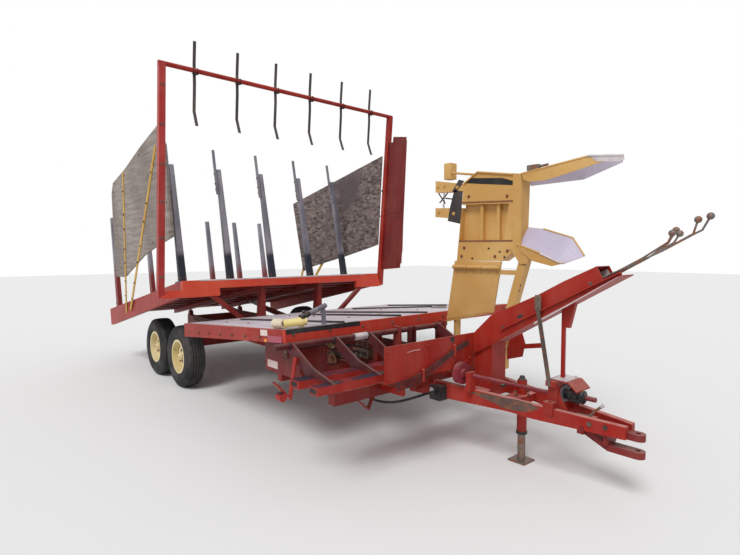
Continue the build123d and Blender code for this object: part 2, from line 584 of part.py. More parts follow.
STOP = beam((STOP_X, STOP_Y - 10, 900), (STOP_X, STOP_Y - 60, 606), 40, 12, side=(1, 0, 0))
STOP += beam((STOP_X, STOP_Y - 56, 600), (STOP_X, STOP_Y - 190, 745), 40, 12, side=(1, 0, 0))
STOP += block(STOP_X - 20, STOP_X + 20, STOP_Y - 16, STOP_Y, 860, 900)
keep("first_table_beams", STOP)
ROLLER_Y = STOP_Y - 132
ROLLER_Z = 629.0
keep("first_table_beams", rod((STOP_X - 30, ROLLER_Y, ROLLER_Z), (STOP_X + 30, ROLLER_Y, ROLLER_Z), 29.8))

# Front shield and its arms
keep("front_shield", block(SHIELD_X, SHIELD_X + SHIELD_THICK, -1092, BOOM_NEAR_Y, 735, 1000))
SHIELD_ARM = block(NOSE_FRONT, SHIELD_X, -15, 15, 620, 665)
SHIELD_ARM += block(SHIELD_X - 20, SHIELD_X, -15, 15, 620, 800)
keep("front_shield", [Pos(0, y, 0) * SHIELD_ARM for y in (-900, -200)])

# Loading boom: a channel of thin sheets, open at its tip, with a lip that runs on past it
BOOM_REAR = SHIELD_X + SHIELD_THICK
BOOM_TOP_LINE = [(BOOM_REAR, 1000), (4200, 1155), (4617, 1350), (4808, 1455), (5041, 1567)]
BOOM_TIP = (5081, 1491)
LIP_TIP = (5203, 1507)
LIP_ROOT = (4231, 932)
BOOM_FOOT = (BOOM_REAR, 818)


def lip_z(x):
    """Height of the boom's lower edge."""
    share = (x - LIP_ROOT[0]) / (LIP_TIP[0] - LIP_ROOT[0])
    return LIP_ROOT[1] + share * (LIP_TIP[1] - LIP_ROOT[1])


def band(line, depth, y0, y1):
    """Strip of constant depth under a line in x and z."""
    return plate_xz(line + [(x, z - depth) for x, z in reversed(line)], y0, y1)


BOOM_SIDE = BOOM_TOP_LINE + [BOOM_TIP, (BOOM_TIP[0] + 20, lip_z(BOOM_TIP[0] + 20)), LIP_ROOT, BOOM_FOOT]
LIP_LINE = [(BOOM_REAR, BOOM_FOOT[1] + BOOM_SHEET), (LIP_ROOT[0], LIP_ROOT[1] + BOOM_SHEET),
            (LIP_TIP[0], LIP_TIP[1] + BOOM_SHEET)]
BOOM_SOLID = plate_xz(BOOM_SIDE, BOOM_NEAR_Y, BOOM_FAR_Y)
INNER_NEAR = BOOM_NEAR_Y + BOOM_SHEET
INNER_FAR = BOOM_FAR_Y - BOOM_SHEET
TOP_SHEET = band(BOOM_TOP_LINE, BOOM_SHEET, BOOM_NEAR_Y, BOOM_FAR_Y)
LIP_SHEET = band(LIP_LINE, BOOM_SHEET, BOOM_NEAR_Y - FOLD_OUT, BOOM_FAR_Y)
# Folded edge that stands out over the lip on the near side, tapering to the tip
FOLD_LINE = [(4306, 1060), (4659, 1249), (5065, 1466), (LIP_TIP[0], 1537)]
NEAR_SHEET = plate_xz(BOOM_SIDE, BOOM_NEAR_Y, INNER_NEAR)
NEAR_SHEET += band(FOLD_LINE, FOLD_DEPTH, BOOM_NEAR_Y - FOLD_OUT, INNER_NEAR)
BEAK = [(5075, lip_z(5075)), LIP_TIP, FOLD_LINE[-1], (5075, 1466)]
NEAR_SHEET += plate_xz(BEAK, BOOM_NEAR_Y, INNER_NEAR)
FAR_SHEET = plate_xz(BOOM_SIDE, INNER_FAR, BOOM_FAR_Y)
keep("boom", TOP_SHEET, LIP_SHEET, NEAR_SHEET - TOP_SHEET - LIP_SHEET, FAR_SHEET - TOP_SHEET - LIP_SHEET)
BOOM = TOP_SHEET + LIP_SHEET + NEAR_SHEET + FAR_SHEET
keep("boom", plate_xz([(4778, lip_z(4778)), (4858, lip_z(4858)), (4813, 1117), (4781, 1119)], -20, 20))

# Control levers, rooted in a block inside the boom's tip
QUADRANT = block(5010, 5060, INNER_NEAR, INNER_FAR, 1455, 1500)
# side position, then x and z of each point up to the knob
LEVERS = [(-80, (5430, 1668), (5600, 1768), (5638, 1788), (5677, 1866)),
          (-54, (5418, 1667), (5585, 1768), (5608, 1850)),
          (-32, (5300, 1622), (5446, 1722), (5466, 1776)),
          (32, (5300, 1618), (5457, 1720), (5487, 1774)),
          (64, (5300, 1624), (5413, 1716), (5456, 1797))]
LEVER_RADIUS = 6.0
KNOB_RADIUS = 21.0
for y, *points in LEVERS:
    start = (5050, y, 1478)
    for x, z in points:
        QUADRANT += rod(start, (x, y, z), LEVER_RADIUS) + Pos(x, y, z) * Sphere(LEVER_RADIUS)
        start = (x, y, z)
    QUADRANT += Pos(*start) * Sphere(KNOB_RADIUS)
keep("control_levers", QUADRANT)

# Tongue: two rails that run under the front outrigger and meet at the hitch
TONGUE_SLOPE = (TONGUE_WIDE_Y - TONGUE_TIP_Y) / (TONGUE_TIP_X - TONGUE_WIDE_X)
TONGUE_TURN = math.degrees(math.atan(TONGUE_SLOPE))
TONGUE_STRETCH = math.hypot(1, TONGUE_SLOPE)
# x and z of the rail's outline, seen from the side
TONGUE_SIDE = [(3500, 463), (4450, 463), (4620, 447), (5300, 436), (5300, 517), (3500, 612)]
TONGUE = plate_xz([((x - TONGUE_WIDE_X) * TONGUE_STRETCH, z) for x, z in TONGUE_SIDE],
                  -TONGUE_WIDTH / 2, TONGUE_WIDTH / 2)
TONGUE = Pos(TONGUE_WIDE_X, TONGUE_WIDE_Y, 0) * Rot(0, 0, -TONGUE_TURN) * TONGUE
TONGUE = (TONGUE & block(TONGUE_REAR_X, TONGUE_TIP_X, -900, 900, 300, 900)) - OUTRIGGER
TONGUE_RIGHT = mirrored(TONGUE)
keep("tongue_frame", both(TONGUE))


def rail_middle(x):
    """Distance of a tongue rail's middle plane from the centre line."""
    return TONGUE_WIDE_Y - TONGUE_SLOPE * (x - TONGUE_WIDE_X)


def between_rails(x0, x1, z0, z1):
    """Crosspiece that fits between the tongue's rails."""
    inset = TONGUE_WIDTH / 2 * TONGUE_STRETCH
    rear = rail_middle(x0) - inset
    front = rail_middle(x1) - inset
    outline = make_face(Polyline((x0, -rear), (x1, -front), (x1, front), (x0, rear), close=True))
    return extrude(Pos(0, 0, z0) * outline, amount=z1 - z0)


JACK_BORE = rod((JACK_X, JACK_Y, 300), (JACK_X, JACK_Y, 900), JACK_TUBE_RADIUS + SEAT_GAP)
keep("tongue_frame", between_rails(JACK_X - 60, JACK_X + 60, 480, 540) - JACK_BORE,
     between_rails(4950, 5000, 450, 500))
TOWER_REAR = 4045.0
TOWER_FRONT = 4215.0
TOWER_FOOT = 560.0
keep("tongue_frame", between_rails(TOWER_REAR, TOWER_FRONT, 500, TOWER_FOOT))
TOWER = plate_xz([(TOWER_REAR, TOWER_FOOT), (TOWER_FRONT, TOWER_FOOT), (TOWER_FRONT, lip_z(TOWER_FRONT) - 60),
                  (TOWER_FRONT, 990), (TOWER_REAR, 890)], BOOM_NEAR_Y, BOOM_FAR_Y) - BOOM_SOLID
keep("boom", TOWER - LIP_SHEET)

# Hitch: an upper jaw between the rails' tips and a bent bar under them as the lower jaw
UPPER_LOW = HITCH_Z + JAW_GAP / 2
UPPER_HIGH = UPPER_LOW + JAW_THICK
LOWER_HIGH = HITCH_Z - JAW_GAP / 2
LOWER_LOW = LOWER_HIGH - JAW_THICK
PIN_CUT = rod((HITCH_X, 0, HITCH_Z - 200), (HITCH_X, 0, HITCH_Z + 200), HITCH_HOLE)
UPPER_JAW = block(5080, HITCH_X, -JAW_HALF, JAW_HALF, UPPER_LOW, UPPER_HIGH)
UPPER_JAW += rod((HITCH_X, 0, UPPER_LOW), (HITCH_X, 0, UPPER_HIGH), JAW_HALF)
BENT_BAR = [(4935, 400), (4975, 436), (5110, LOWER_HIGH), (HITCH_X, LOWER_HIGH), (HITCH_X, LOWER_LOW),
            (5115, LOWER_LOW)]
LOWER_JAW = plate_xz(BENT_BAR, -JAW_HALF, JAW_HALF)
LOWER_JAW += rod((HITCH_X, 0, LOWER_LOW), (HITCH_X, 0, LOWER_HIGH), JAW_HALF)
LOWER_JAW += block(4940, 4985, -125, 125, 415, 470)
LOWER_JAW += block(5095, 5125, -70, 70, LOWER_HIGH, 470)
JAWS = (UPPER_JAW + LOWER_JAW) - TONGUE - TONGUE_RIGHT - between_rails(4950, 5000, 450, 500)
keep("hitch_jaws", JAWS - PIN_CUT)

# Jack
JACK_CAP = JACK_LEG_TOP + JACK_STROKE + 15
JACK_TUBE = rod((JACK_X, JACK_Y, JACK_TUBE_BOTTOM), (JACK_X, JACK_Y, JACK_CAP + 12), JACK_TUBE_RADIUS)
JACK_TUBE -= rod((JACK_X, JACK_Y, JACK_TUBE_BOTTOM - 10), (JACK_X, JACK_Y, JACK_CAP),
                 JACK_LEG_RADIUS + PIN_GAP)
keep("jack_tube", JACK_TUBE)
JACK_LEG = rod((JACK_X, JACK_Y, JACK_FOOT_THICK), (JACK_X, JACK_Y, JACK_LEG_TOP), JACK_LEG_RADIUS)
JACK_FOOT = block(JACK_X - 75, JACK_X + 75, JACK_Y - 75, JACK_Y + 75, 0, JACK_FOOT_THICK)
keep("jack_leg", JACK_LEG + JACK_FOOT)

# Drive pedestal with its hood, input joint, side shaft and sheave
PEDESTAL = block(PEDESTAL_REAR, PEDESTAL_FRONT, -PEDESTAL_HALF, PEDESTAL_HALF, 500, PEDESTAL_TOP)
PEDESTAL += block(PEDESTAL_REAR, PEDESTAL_FRONT, -170, 170, 500, 590)
HOOD = [(PEDESTAL_REAR, PEDESTAL_TOP), (4860, PEDESTAL_TOP), (4920, 690), (4920, 682), (4856, 737),
        (PEDESTAL_REAR, 737)]
PEDESTAL += plate_xz(HOOD, -PEDESTAL_HALF, PEDESTAL_HALF)
PEDESTAL = PEDESTAL - TONGUE - TONGUE_RIGHT
keep("drive_pedestal", PEDESTAL)
INPUT = rod((PEDESTAL_FRONT, 0, INPUT_Z), (PEDESTAL_FRONT + 45, 0, INPUT_Z), 28)
INPUT += rod((PEDESTAL_FRONT + 45, 0, INPUT_Z), (PEDESTAL_FRONT + 145, 0, INPUT_Z), 44)
INPUT += rod((PEDESTAL_FRONT + 145, 0, INPUT_Z), (PEDESTAL_FRONT + 230, 0, INPUT_Z), INPUT_RADIUS)
keep("drive_shafts", INPUT)
SHEAVE = rod((SHEAVE_X - SHEAVE_HALF, SHEAVE_Y, SHEAVE_Z), (SHEAVE_X + SHEAVE_HALF, SHEAVE_Y, SHEAVE_Z),
             SHEAVE_RADIUS)
SHAFT_START = (SHEAVE_X, SHEAVE_Y, SHEAVE_Z)
SHAFT_END = (PEDESTAL_REAR + 20, -78.0, 640.0)
SHEAVE += rod(SHAFT_START, SHAFT_END, SHAFT_RADIUS)
keep("drive_shafts", SHEAVE - PEDESTAL)
BEARING = block(4130, 4170, -320, -245, 570, 720) - TONGUE_RIGHT
keep("drive_pedestal", BEARING - rod(SHAFT_START, SHAFT_END, SHAFT_RADIUS + SEAT_GAP))
keep("hydraulic_pump", block(3815, 3925, -390, -280, 455, 570) - TONGUE_RIGHT)
keep("hydraulic_pump", rod((3870, -390, 530), (3870, -410, 530), 30))

# Props between the pedestal and the boom
GREY_PROP = beam((4735, BOOM_NEAR_Y - 31, 700), (4617, BOOM_NEAR_Y - 31, 1335), 26, 12, side=(1, 0, 0))
RED_PROP = beam((4765, 0, PEDESTAL_TOP), (4765, 0, 1300), 24, 24, side=(1, 0, 0))
GREY_SEAT = block(PEDESTAL_REAR, PEDESTAL_FRONT, BOOM_NEAR_Y - 37, -PEDESTAL_HALF, 700, 740)
keep("boom", GREY_PROP - GREY_SEAT - BOOM, RED_PROP - BOOM_SOLID - BOOM)
keep("drive_pedestal", GREY_SEAT)

# Toolbox beside the frame
keep("frame_crossmembers", block(2900, 2960, -1280, -RAIL_OUTER, 580, 640))
keep("toolbox", block(2690, 3250, -1280, -1020, 640, 890))

# Loader, folded up on the left
LOADER_BACK = LOADER_FACE_Y + 12
TROUGH = [(3540, 2305), (3699, 2398), (4165, 2318), (4150, 1700), (3965, 1580), (3462, 1576)]
POCKET = [(3510, 2110), (4040, 2085), (3995, 1765), (3500, 1765)]
TROUGH_SOLID = plate_xz(TROUGH, LOADER_BACK, LOADER_BACK + 128)
TROUGH_SOLID -= plate_xz(POCKET, LOADER_FACE_Y, LOADER_BACK + 60)
for x in (3720, 3900):
    TROUGH_SOLID += block(x, x + 30, LOADER_BACK + 20, LOADER_BACK + 70, 1750, 2090)
keep("loader_trough", TROUGH_SOLID)
FLANGE = [(4082, 2340), (4165, 2326), (4172, 1700), (4093, 1690)]
FLANGE_SOLID = plate_xz(FLANGE, LOADER_FACE_Y, LOADER_BACK)
keep("loader_trough", FLANGE_SOLID)
SHEET = [(3438, 1576), (3965, 1576), (3885, 1112), (3335, 970)]
SHEET_SOLID = plate_xz(SHEET, LOADER_BACK, LOADER_BACK + 20)
keep("loader_transition", SHEET_SOLID)
ARM_HIGH = [(3183, 2370), (3183, 2255), (3540, 2235), (3540, 2305)]
ARM_LOW = [(3183, 2100), (3183, 2010), (3505, 1975), (3515, 2080)]
keep("loader_trough", [plate_xz(outline, LOADER_BACK, LOADER_BACK + 100) - TROUGH_SOLID
                       for outline in (ARM_HIGH, ARM_LOW)])
FLARE_THICK = 8.0


def flare(near_y, far_y, stations):
    """Bent guide sheet; each station gives x and z of its near edge, then x and z of its far edge."""
    sections = []
    for near_x, near_z, far_x, far_z in stations:
        place = Plane(origin=(near_x, near_y, 0), x_dir=(far_x - near_x, far_y - near_y, 0),
                      z_dir=(far_y - near_y, near_x - far_x, 0))
        width = math.hypot(far_x - near_x, far_y - near_y)
        corners = [(0, near_z), (width, far_z), (width, far_z + FLARE_THICK), (0, near_z + FLARE_THICK)]
        sections.append(place * make_face(Polyline(*corners, close=True)))
    return loft(sections, ruled=True)


UPPER_STATIONS = [(4160, 2318, 4100, 2250), (4755, 2385, 4584, 2255), (5006, 2351, 4891, 2354)]
LOWER_STATIONS = [(4130, 1722, 4038, 1886), (4340, 1650, 4293, 1851), (4513, 1575, 4562, 1770),
                  (4560, 1563, 4665, 1625)]
UPPER_FLARE = flare(LOADER_FACE_Y, LOADER_FACE_Y + 260, UPPER_STATIONS)
LOWER_FLARE = flare(LOADER_FACE_Y, LOADER_FACE_Y + 140, LOWER_STATIONS)
keep("loader_flares", UPPER_FLARE - FLANGE_SOLID - TROUGH_SOLID)
keep("loader_flares", LOWER_FLARE - FLANGE_SOLID - TROUGH_SOLID)
LEG_X = 3945.0
LEG_Y = LOADER_BACK + 37.5
LEG = beam((LEG_X, LEG_Y, LOADER_PIVOT_Z), (4200, LEG_Y, 1640), 75, 75)
LEG_FOOT = [(4060, 1700), (4172, 1700), (4245, 1650), (4235, 1560), (4160, 1560)]
LEG += plate_xz(LEG_FOOT, LOADER_FACE_Y, LOADER_BACK)
LEG += rod((LEG_X - 15, LOADER_PIVOT_Y, LOADER_PIVOT_Z), (LEG_X + 15, LOADER_PIVOT_Y, LOADER_PIVOT_Z), 35)
LEG -= block(LEG_X - 99, LEG_X - 15, 300, 600, 600, LOADER_PIVOT_Z + 45)
LEG -= block(LEG_X + 15, LEG_X + 99, 300, 600, 600, LOADER_PIVOT_Z + 45)
LEG -= rod((LEG_X - 99, LOADER_PIVOT_Y, LOADER_PIVOT_Z), (LEG_X + 99, LOADER_PIVOT_Y, LOADER_PIVOT_Z),
           15 + PIN_GAP)
keep("loader_leg", LEG - FLANGE_SOLID - LOWER_FLARE - TROUGH_SOLID)
keep("loader_leg", beam((3900, LOADER_BACK + 20, 1480), (4190, LOADER_BACK + 20, 1480), 40, 40)
     - LEG - SHEET_SOLID)
GUARD_Y = LEG_Y + 37.5
GUARD = [(3990, 690), (4147, 740), (4172, 860), (4140, 950), (3990, 950)]
keep("loader_guard", plate_xz(GUARD, GUARD_Y, GUARD_Y + 6) - LEG)
keep("loader_guard", beam((4150, GUARD_Y + 20, 830), (4346, GUARD_Y + 20, 868), 28, 40))
STUB_X = 3430.0
STUB = block(STUB_X - 15, STUB_X + 15, LOADER_BACK + 20, LOADER_PIVOT_Y, LOADER_PIVOT_Z, 1060)
STUB += rod((STUB_X - 15, LOADER_PIVOT_Y, LOADER_PIVOT_Z), (STUB_X + 15, LOADER_PIVOT_Y, LOADER_PIVOT_Z), 35)
STUB -= rod((STUB_X - 99, LOADER_PIVOT_Y, LOADER_PIVOT_Z), (STUB_X + 99, LOADER_PIVOT_Y, LOADER_PIVOT_Z),
            15 + PIN_GAP)
keep("loader_transition", STUB)


def loader_bracket(x, base):
    """Two ears and their pin round an eye of the loader, on a base block."""
    solid = rod((x - 35, LOADER_PIVOT_Y, LOADER_PIVOT_Z), (x + 35, LOADER_PIVOT_Y, LOADER_PIVOT_Z), 15)
    for side in (-1, 1):
        near = x + side * 17
        far = x + side * 33
        solid += block(near, far, LOADER_PIVOT_Y - 35, LOADER_PIVOT_Y + 35, base, LOADER_PIVOT_Z)
        solid += rod((near, LOADER_PIVOT_Y, LOADER_PIVOT_Z), (far, LOADER_PIVOT_Y, LOADER_PIVOT_Z), 35)
    return solid + block(x - 33, x + 33, LOADER_PIVOT_Y - 35, LOADER_PIVOT_Y + 35, base, base + 25)


FRONT_BRACKET = loader_bracket(LEG_X, 655) + block(NOSE_FRONT, LEG_X + 33, 425, 495, 600, 656)
keep("loader_pivot_brackets", FRONT_BRACKET, loader_bracket(STUB_X, RAIL_TOP))


def ears(x, y, z, inner, thick, radius, foot_z):
    """Two cylinder ears standing on a crossmember, joined by their pin."""
    solid = rod((x, y - inner - thick, z), (x, y + inner + thick, z), CYLINDER_PIN)
    for side in (-1, 1):
        near = y + side * inner
        far = y + side * (inner + thick)
        solid += block(x - radius, x + radius, near, far, foot_z, z) + rod((x, near, z), (x, far, z), radius)
    return solid - block(x - 99, x + 99, y - 99, y + 99, foot_z - 99, foot_z)


EYE_HALF = EYE_THICK / 2


def cylinder(base, end, radius, rod_radius, tube_length, rod_start):
    """Barrel and rod of a hydraulic cylinder, both with eyes about pins along y."""
    span = Vector(*end) - Vector(*base)
    unit = span / span.length
    y = base[1]
    tube_foot = Vector(*base) + unit * 32
    tube_tip = Vector(*base) + unit * tube_length
    rod_foot = Vector(*base) + unit * rod_start
    barrel = rod(tuple(tube_foot), tuple(tube_tip), radius) + rod(base, tuple(tube_foot), 15)
    barrel += rod((base[0], y - EYE_HALF, base[2]), (base[0], y + EYE_HALF, base[2]), EYE_RADIUS)
    barrel -= rod((base[0], y - 60, base[2]), (base[0], y + 60, base[2]), CYLINDER_PIN + PIN_GAP)
    barrel -= rod(tuple(rod_foot - unit * 5), tuple(tube_tip + unit * 5), rod_radius + PIN_GAP)
    inner_end = Vector(*end) - unit * 15
    stem = rod(tuple(rod_foot), tuple(inner_end), rod_radius)
    stem += rod((end[0], y - EYE_HALF, end[2]), (end[0], y + EYE_HALF, end[2]), EYE_RADIUS)
    stem -= rod((end[0], y - 60, end[2]), (end[0], y + 60, end[2]), CYLINDER_PIN + PIN_GAP)
    return barrel, stem


def in_frame(angle, x, z, u, w):
    """Wagon x and z of a point in a tilted deck's frame."""
    slope = math.radians(angle)
    return x + u * math.cos(slope) - w * math.sin(slope), z + u * math.sin(slope) + w * math.cos(slope)


RACK_LUG_U = 700.0
RACK_LUG_W = 60.0
RACK_CYLINDER_X = 960.0
RACK_CYLINDER_Y = 250.0
LUG_X, LUG_Z = in_frame(RACK_TILT, RACK_PIVOT_X, RACK_PIVOT_Z, RACK_LUG_U, RACK_LUG_W)
for y in (RACK_CYLINDER_Y, -RACK_CYLINDER_Y):
    barrel, stem = cylinder((RACK_CYLINDER_X, y, CYLINDER_Z), (LUG_X, y, LUG_Z), 38, 19, 1200, 300)
    keep("rack_cylinders", barrel)
    keep("rack_cylinder_rods", stem)
TABLE_LUG_W = -90.0
TABLE_CYLINDER_X = 3230.0
LUG_X, LUG_Z = in_frame(TABLE_TILT, TABLE_PIVOT_X, TABLE_PIVOT_Z, TABLE_CYLINDER_U, TABLE_LUG_W)
barrel, stem = cylinder((TABLE_CYLINDER_X, 0, CYLINDER_Z), (LUG_X, 0, LUG_Z), 35, 17, 1150, 240)
keep("table_cylinder", barrel)
keep("table_cylinder_rod", stem)
FIRST_CYLINDER = (2950.0, -200.0, CYLINDER_Z)
FIRST_LUG = (3420.0, -200.0, 695.0)
barrel, stem = cylinder(FIRST_CYLINDER, FIRST_LUG, 28, 14, 400, 60)
keep("first_cylinder", barrel)
keep("first_cylinder_rod", stem)


def lug_pair(x, y, z0, z1, half):
    """Two plates beside a rod's eye, with aligned holes; z1 is where they are fixed."""
    plates = []
    for side in (-1, 1):
        near = y + side * (EYE_HALF + LUG_GAP)
        far = near + side * 12
        plate = block(x - half, x + half, near, far, z0, z1) + rod((x, near, z0), (x, far, z0), half)
        plates.append(plate - rod((x, y - 99, z0), (x, y + 99, z0), CYLINDER_PIN + PIN_GAP))
    return plates


RACK_LUGS = lug_pair(RACK_LUG_U, RACK_CYLINDER_Y, RACK_LUG_W, CROSS_BOTTOM, 28)
keep("rack_underframe", [RACK * s for s in RACK_LUGS], [RACK * mirrored(s) for s in RACK_LUGS])
TABLE_LUGS = lug_pair(TABLE_CYLINDER_U, 0, TABLE_LUG_W, TABLE_CROSS_BOTTOM, 28)
keep("second_table_frame", [TABLE * s for s in TABLE_LUGS])
FIRST_ARM_PLATES = lug_pair(FIRST_LUG[0], FIRST_LUG[1], FIRST_LUG[2], 990, 25)
keep("first_table_arms", [s - WIDE_TUBE for s in FIRST_ARM_PLATES])
EAR_INNER = EYE_HALF + LUG_GAP
keep("pivot_ears",
     [ears(RACK_CYLINDER_X, y, CYLINDER_Z, EAR_INNER, 12, 26, CROSS_TOP)
      for y in (-RACK_CYLINDER_Y, RACK_CYLINDER_Y)],
     ears(TABLE_CYLINDER_X, 0, CYLINDER_Z, EAR_INNER, 12, 26, CROSS_TOP),
     ears(FIRST_CYLINDER[0], FIRST_CYLINDER[1], CYLINDER_Z, EAR_INNER, 12, 26, CROSS_TOP))


def hose(points):
    """Bare hose along straight runs with arcs as large as the runs allow."""
    radii = []
    for before, corner, after in zip(points, points[1:], points[2:]):
        first = Vector(*corner) - Vector(*before)
        second = Vector(*after) - Vector(*corner)
        turn = math.radians(first.get_angle(second))
        radii.append(0.45 * min(first.length, second.length) / math.tan(turn / 2))
    path = FilletPolyline(*points, radius=radii)
    print("hose length", round(path.length), "radii", [round(r) for r in radii])
    start = Plane(origin=points[0], z_dir=Vector(*points[1]) - Vector(*points[0]))
    return sweep(start * Circle(HOSE_RADIUS), path=path)


# Hose that hangs from the pump back to the right frame rail
HOSE_ROUTE = [(3870, -410, 525), (3870, -500, 525), (3820, -610, 497), (3720, -700, 460), (3590, -735, 443),
              (3445, -735, 445), (3320, -700, 480), (3235, -640, 545), (3205, -560, 585), (3205, -457.5, 585)]
keep("hydraulic_hose", hose(HOSE_ROUTE))

for name, solids in PIECES.items():
    export_step(Pos(-HITCH_X, 0, -HITCH_Z) * Compound(children=solids), "parts/" + name + ".step")
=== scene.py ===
import json
import math

import bmesh
import bpy
from mathutils import Euler, Matrix, Vector


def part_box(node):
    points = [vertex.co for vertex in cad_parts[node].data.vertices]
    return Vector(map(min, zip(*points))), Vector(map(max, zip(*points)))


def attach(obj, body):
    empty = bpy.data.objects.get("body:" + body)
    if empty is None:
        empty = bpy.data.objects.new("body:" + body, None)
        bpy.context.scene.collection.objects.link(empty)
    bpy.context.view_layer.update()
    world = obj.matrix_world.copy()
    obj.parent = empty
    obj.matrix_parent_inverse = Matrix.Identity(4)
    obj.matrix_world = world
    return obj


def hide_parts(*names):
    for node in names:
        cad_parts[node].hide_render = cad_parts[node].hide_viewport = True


# Looks of a hay wagon. Metres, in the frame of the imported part: X forward, Y left, Z up, with the
# hitch pin hole as origin. Places are written as on the wagon, above the ground and forward of the
# point midway between the tandem wheels, and at() moves them into the frame.

HITCH_X = 5.292
HITCH_Z = 0.4

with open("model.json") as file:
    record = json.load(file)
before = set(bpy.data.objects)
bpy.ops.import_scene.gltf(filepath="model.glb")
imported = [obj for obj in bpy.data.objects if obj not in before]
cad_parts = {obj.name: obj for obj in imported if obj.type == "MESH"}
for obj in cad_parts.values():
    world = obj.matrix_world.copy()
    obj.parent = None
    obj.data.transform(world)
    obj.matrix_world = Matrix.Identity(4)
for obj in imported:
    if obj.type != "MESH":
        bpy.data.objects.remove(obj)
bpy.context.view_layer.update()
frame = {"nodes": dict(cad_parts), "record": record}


def at(x, y, z):
    """Point of the wagon in the part's frame."""
    return Vector((x - HITCH_X, y, z - HITCH_Z))


def placed(name, data):
    """Object in the scene with the data given."""
    item = bpy.data.objects.new(name, data)
    bpy.context.scene.collection.objects.link(item)
    return item


# Camera at the photograph's viewing point
CAMERA_PLACE = (6.583, -3.412, 1.666)
CAMERA_YAW = 139.36
CAMERA_PITCH = -2.97
CAMERA_ROLL = 0.06
FRAME_WIDTH = 740
FOCAL_PIXELS = 500
SENSOR = 36.0


def camera():
    """Camera where the photograph was taken."""
    data = bpy.data.cameras.new("camera")
    data.sensor_width = SENSOR
    data.lens = SENSOR * FOCAL_PIXELS / FRAME_WIDTH
    data.clip_end = 200
    item = placed("camera", data)
    item.location = at(*CAMERA_PLACE)
    turn = Euler((math.radians(90 + CAMERA_PITCH), 0, math.radians(CAMERA_YAW - 90)), "XYZ")
    roll = Matrix.Rotation(math.radians(-CAMERA_ROLL), 4, "Z")
    item.rotation_euler = (turn.to_matrix().to_4x4() @ roll).to_euler()
    bpy.context.scene.camera = item


camera()


# Materials
def srgb(red, green, blue):
    """Linear colour from the 0 to 255 values of a colour picker."""
    values = []
    for value in (red, green, blue):
        part = value / 255
        values.append(part / 12.92 if part <= 0.04045 else ((part + 0.055) / 1.055) ** 2.4)
    return (*values, 1)


# Sockets of the colour mix node
MIX_FIRST = 6
MIX_SECOND = 7
MIX_RESULT = 2


class Look:
    """Node material under construction."""

    def __init__(self, name, roughness=0.5, metallic=0.0, specular=0.5):
        self.material = bpy.data.materials.new(name)
        self.material.use_nodes = True
        self.nodes = self.material.node_tree.nodes
        self.links = self.material.node_tree.links
        self.shader = self.nodes["Principled BSDF"]
        self.shader.inputs["Roughness"].default_value = roughness
        self.shader.inputs["Metallic"].default_value = metallic
        self.shader.inputs["Specular IOR Level"].default_value = specular
        self.place = self.nodes.new("ShaderNodeTexCoord").outputs["Object"]

    def feed(self, socket, value):
        """Give a socket a number, a colour of 0 to 255 values or another node's output."""
        if isinstance(value, tuple):
            socket.default_value = srgb(*value)
        elif isinstance(value, (int, float)):
            socket.default_value = value
        else:
            self.links.new(value, socket)

    def node(self, kind, **values):
        """New node, fed at the inputs named."""
        node = self.nodes.new("ShaderNode" + kind)
        for name, value in values.items():
            self.feed(node.inputs[name.replace("_", " ")], value)
        return node

    def stretched(self, scale):
        """Object coordinates scaled along each axis."""
        node = self.node("Mapping", Vector=self.place)
        node.inputs["Scale"].default_value = scale
        return node.outputs["Vector"]

    def noise(self, scale, detail, stretch=None, roughness=0.55):
        """Fractal noise over the object."""
        where = self.stretched(stretch) if stretch else self.place
        node = self.node("TexNoise", Scale=scale, Detail=detail, Roughness=roughness, Vector=where)
        return node.outputs["Fac"]

    def ramp(self, source, low, high):
        """Smooth step of a value between low and high."""
        node = self.node("MapRange", From_Min=low, From_Max=high, Value=source)
        node.interpolation_type = "SMOOTHSTEP"
        return node.outputs["Result"]

    def patches(self, low, high, *noise, **options):
        """Patches where the noise is high, with their edge between low and high."""
        return self.ramp(self.noise(*noise, **options), low, high)

    def math(self, operation, first, second):
        """Sum, product or other function of two values."""
        node = self.node("Math")
        node.operation = operation
        node.use_clamp = True
        self.feed(node.inputs[0], first)
        self.feed(node.inputs[1], second)
        return node.outputs["Value"]

    def times(self, first, second):
        """Product of two values."""
        return self.math("MULTIPLY", first, second)

    def mix(self, amount, first, second):
        """Colour between two others."""
        node = self.node("Mix")
        node.data_type = "RGBA"
        self.feed(node.inputs["Factor"], amount)
        self.feed(node.inputs[MIX_FIRST], first)
        self.feed(node.inputs[MIX_SECOND], second)
        return node.outputs[MIX_RESULT]

    def height(self, source):
        """Third coordinate of a place or direction."""
        return self.node("SeparateXYZ", Vector=source).outputs["Z"]

    def facing_up(self):
        """One on faces that look up: where dirt settles, and where a few looks put painted sunlight and
        painted shade.
        """
        return self.ramp(self.height(self.node("NewGeometry").outputs["Normal"]), 0.3, 0.95)

    def rough(self, source, low, high):
        """Roughness that varies with a value."""
        node = self.node("MapRange", To_Min=low, To_Max=high, Value=source)
        self.feed(self.shader.inputs["Roughness"], node.outputs["Result"])

    def done(self, tone, relief, height, strength):
        """The material, with its base colour and a relief of a height in metres."""
        bump = self.node("Bump", Distance=height, Strength=strength, Height=relief)
        self.feed(self.shader.inputs["Base Color"], tone)
        self.feed(self.shader.inputs["Normal"], bump.outputs["Normal"])
        return self.material


RUST = (96, 50, 32)
RUST_LIGHT = (140, 84, 52)
DUST = (196, 176, 160)


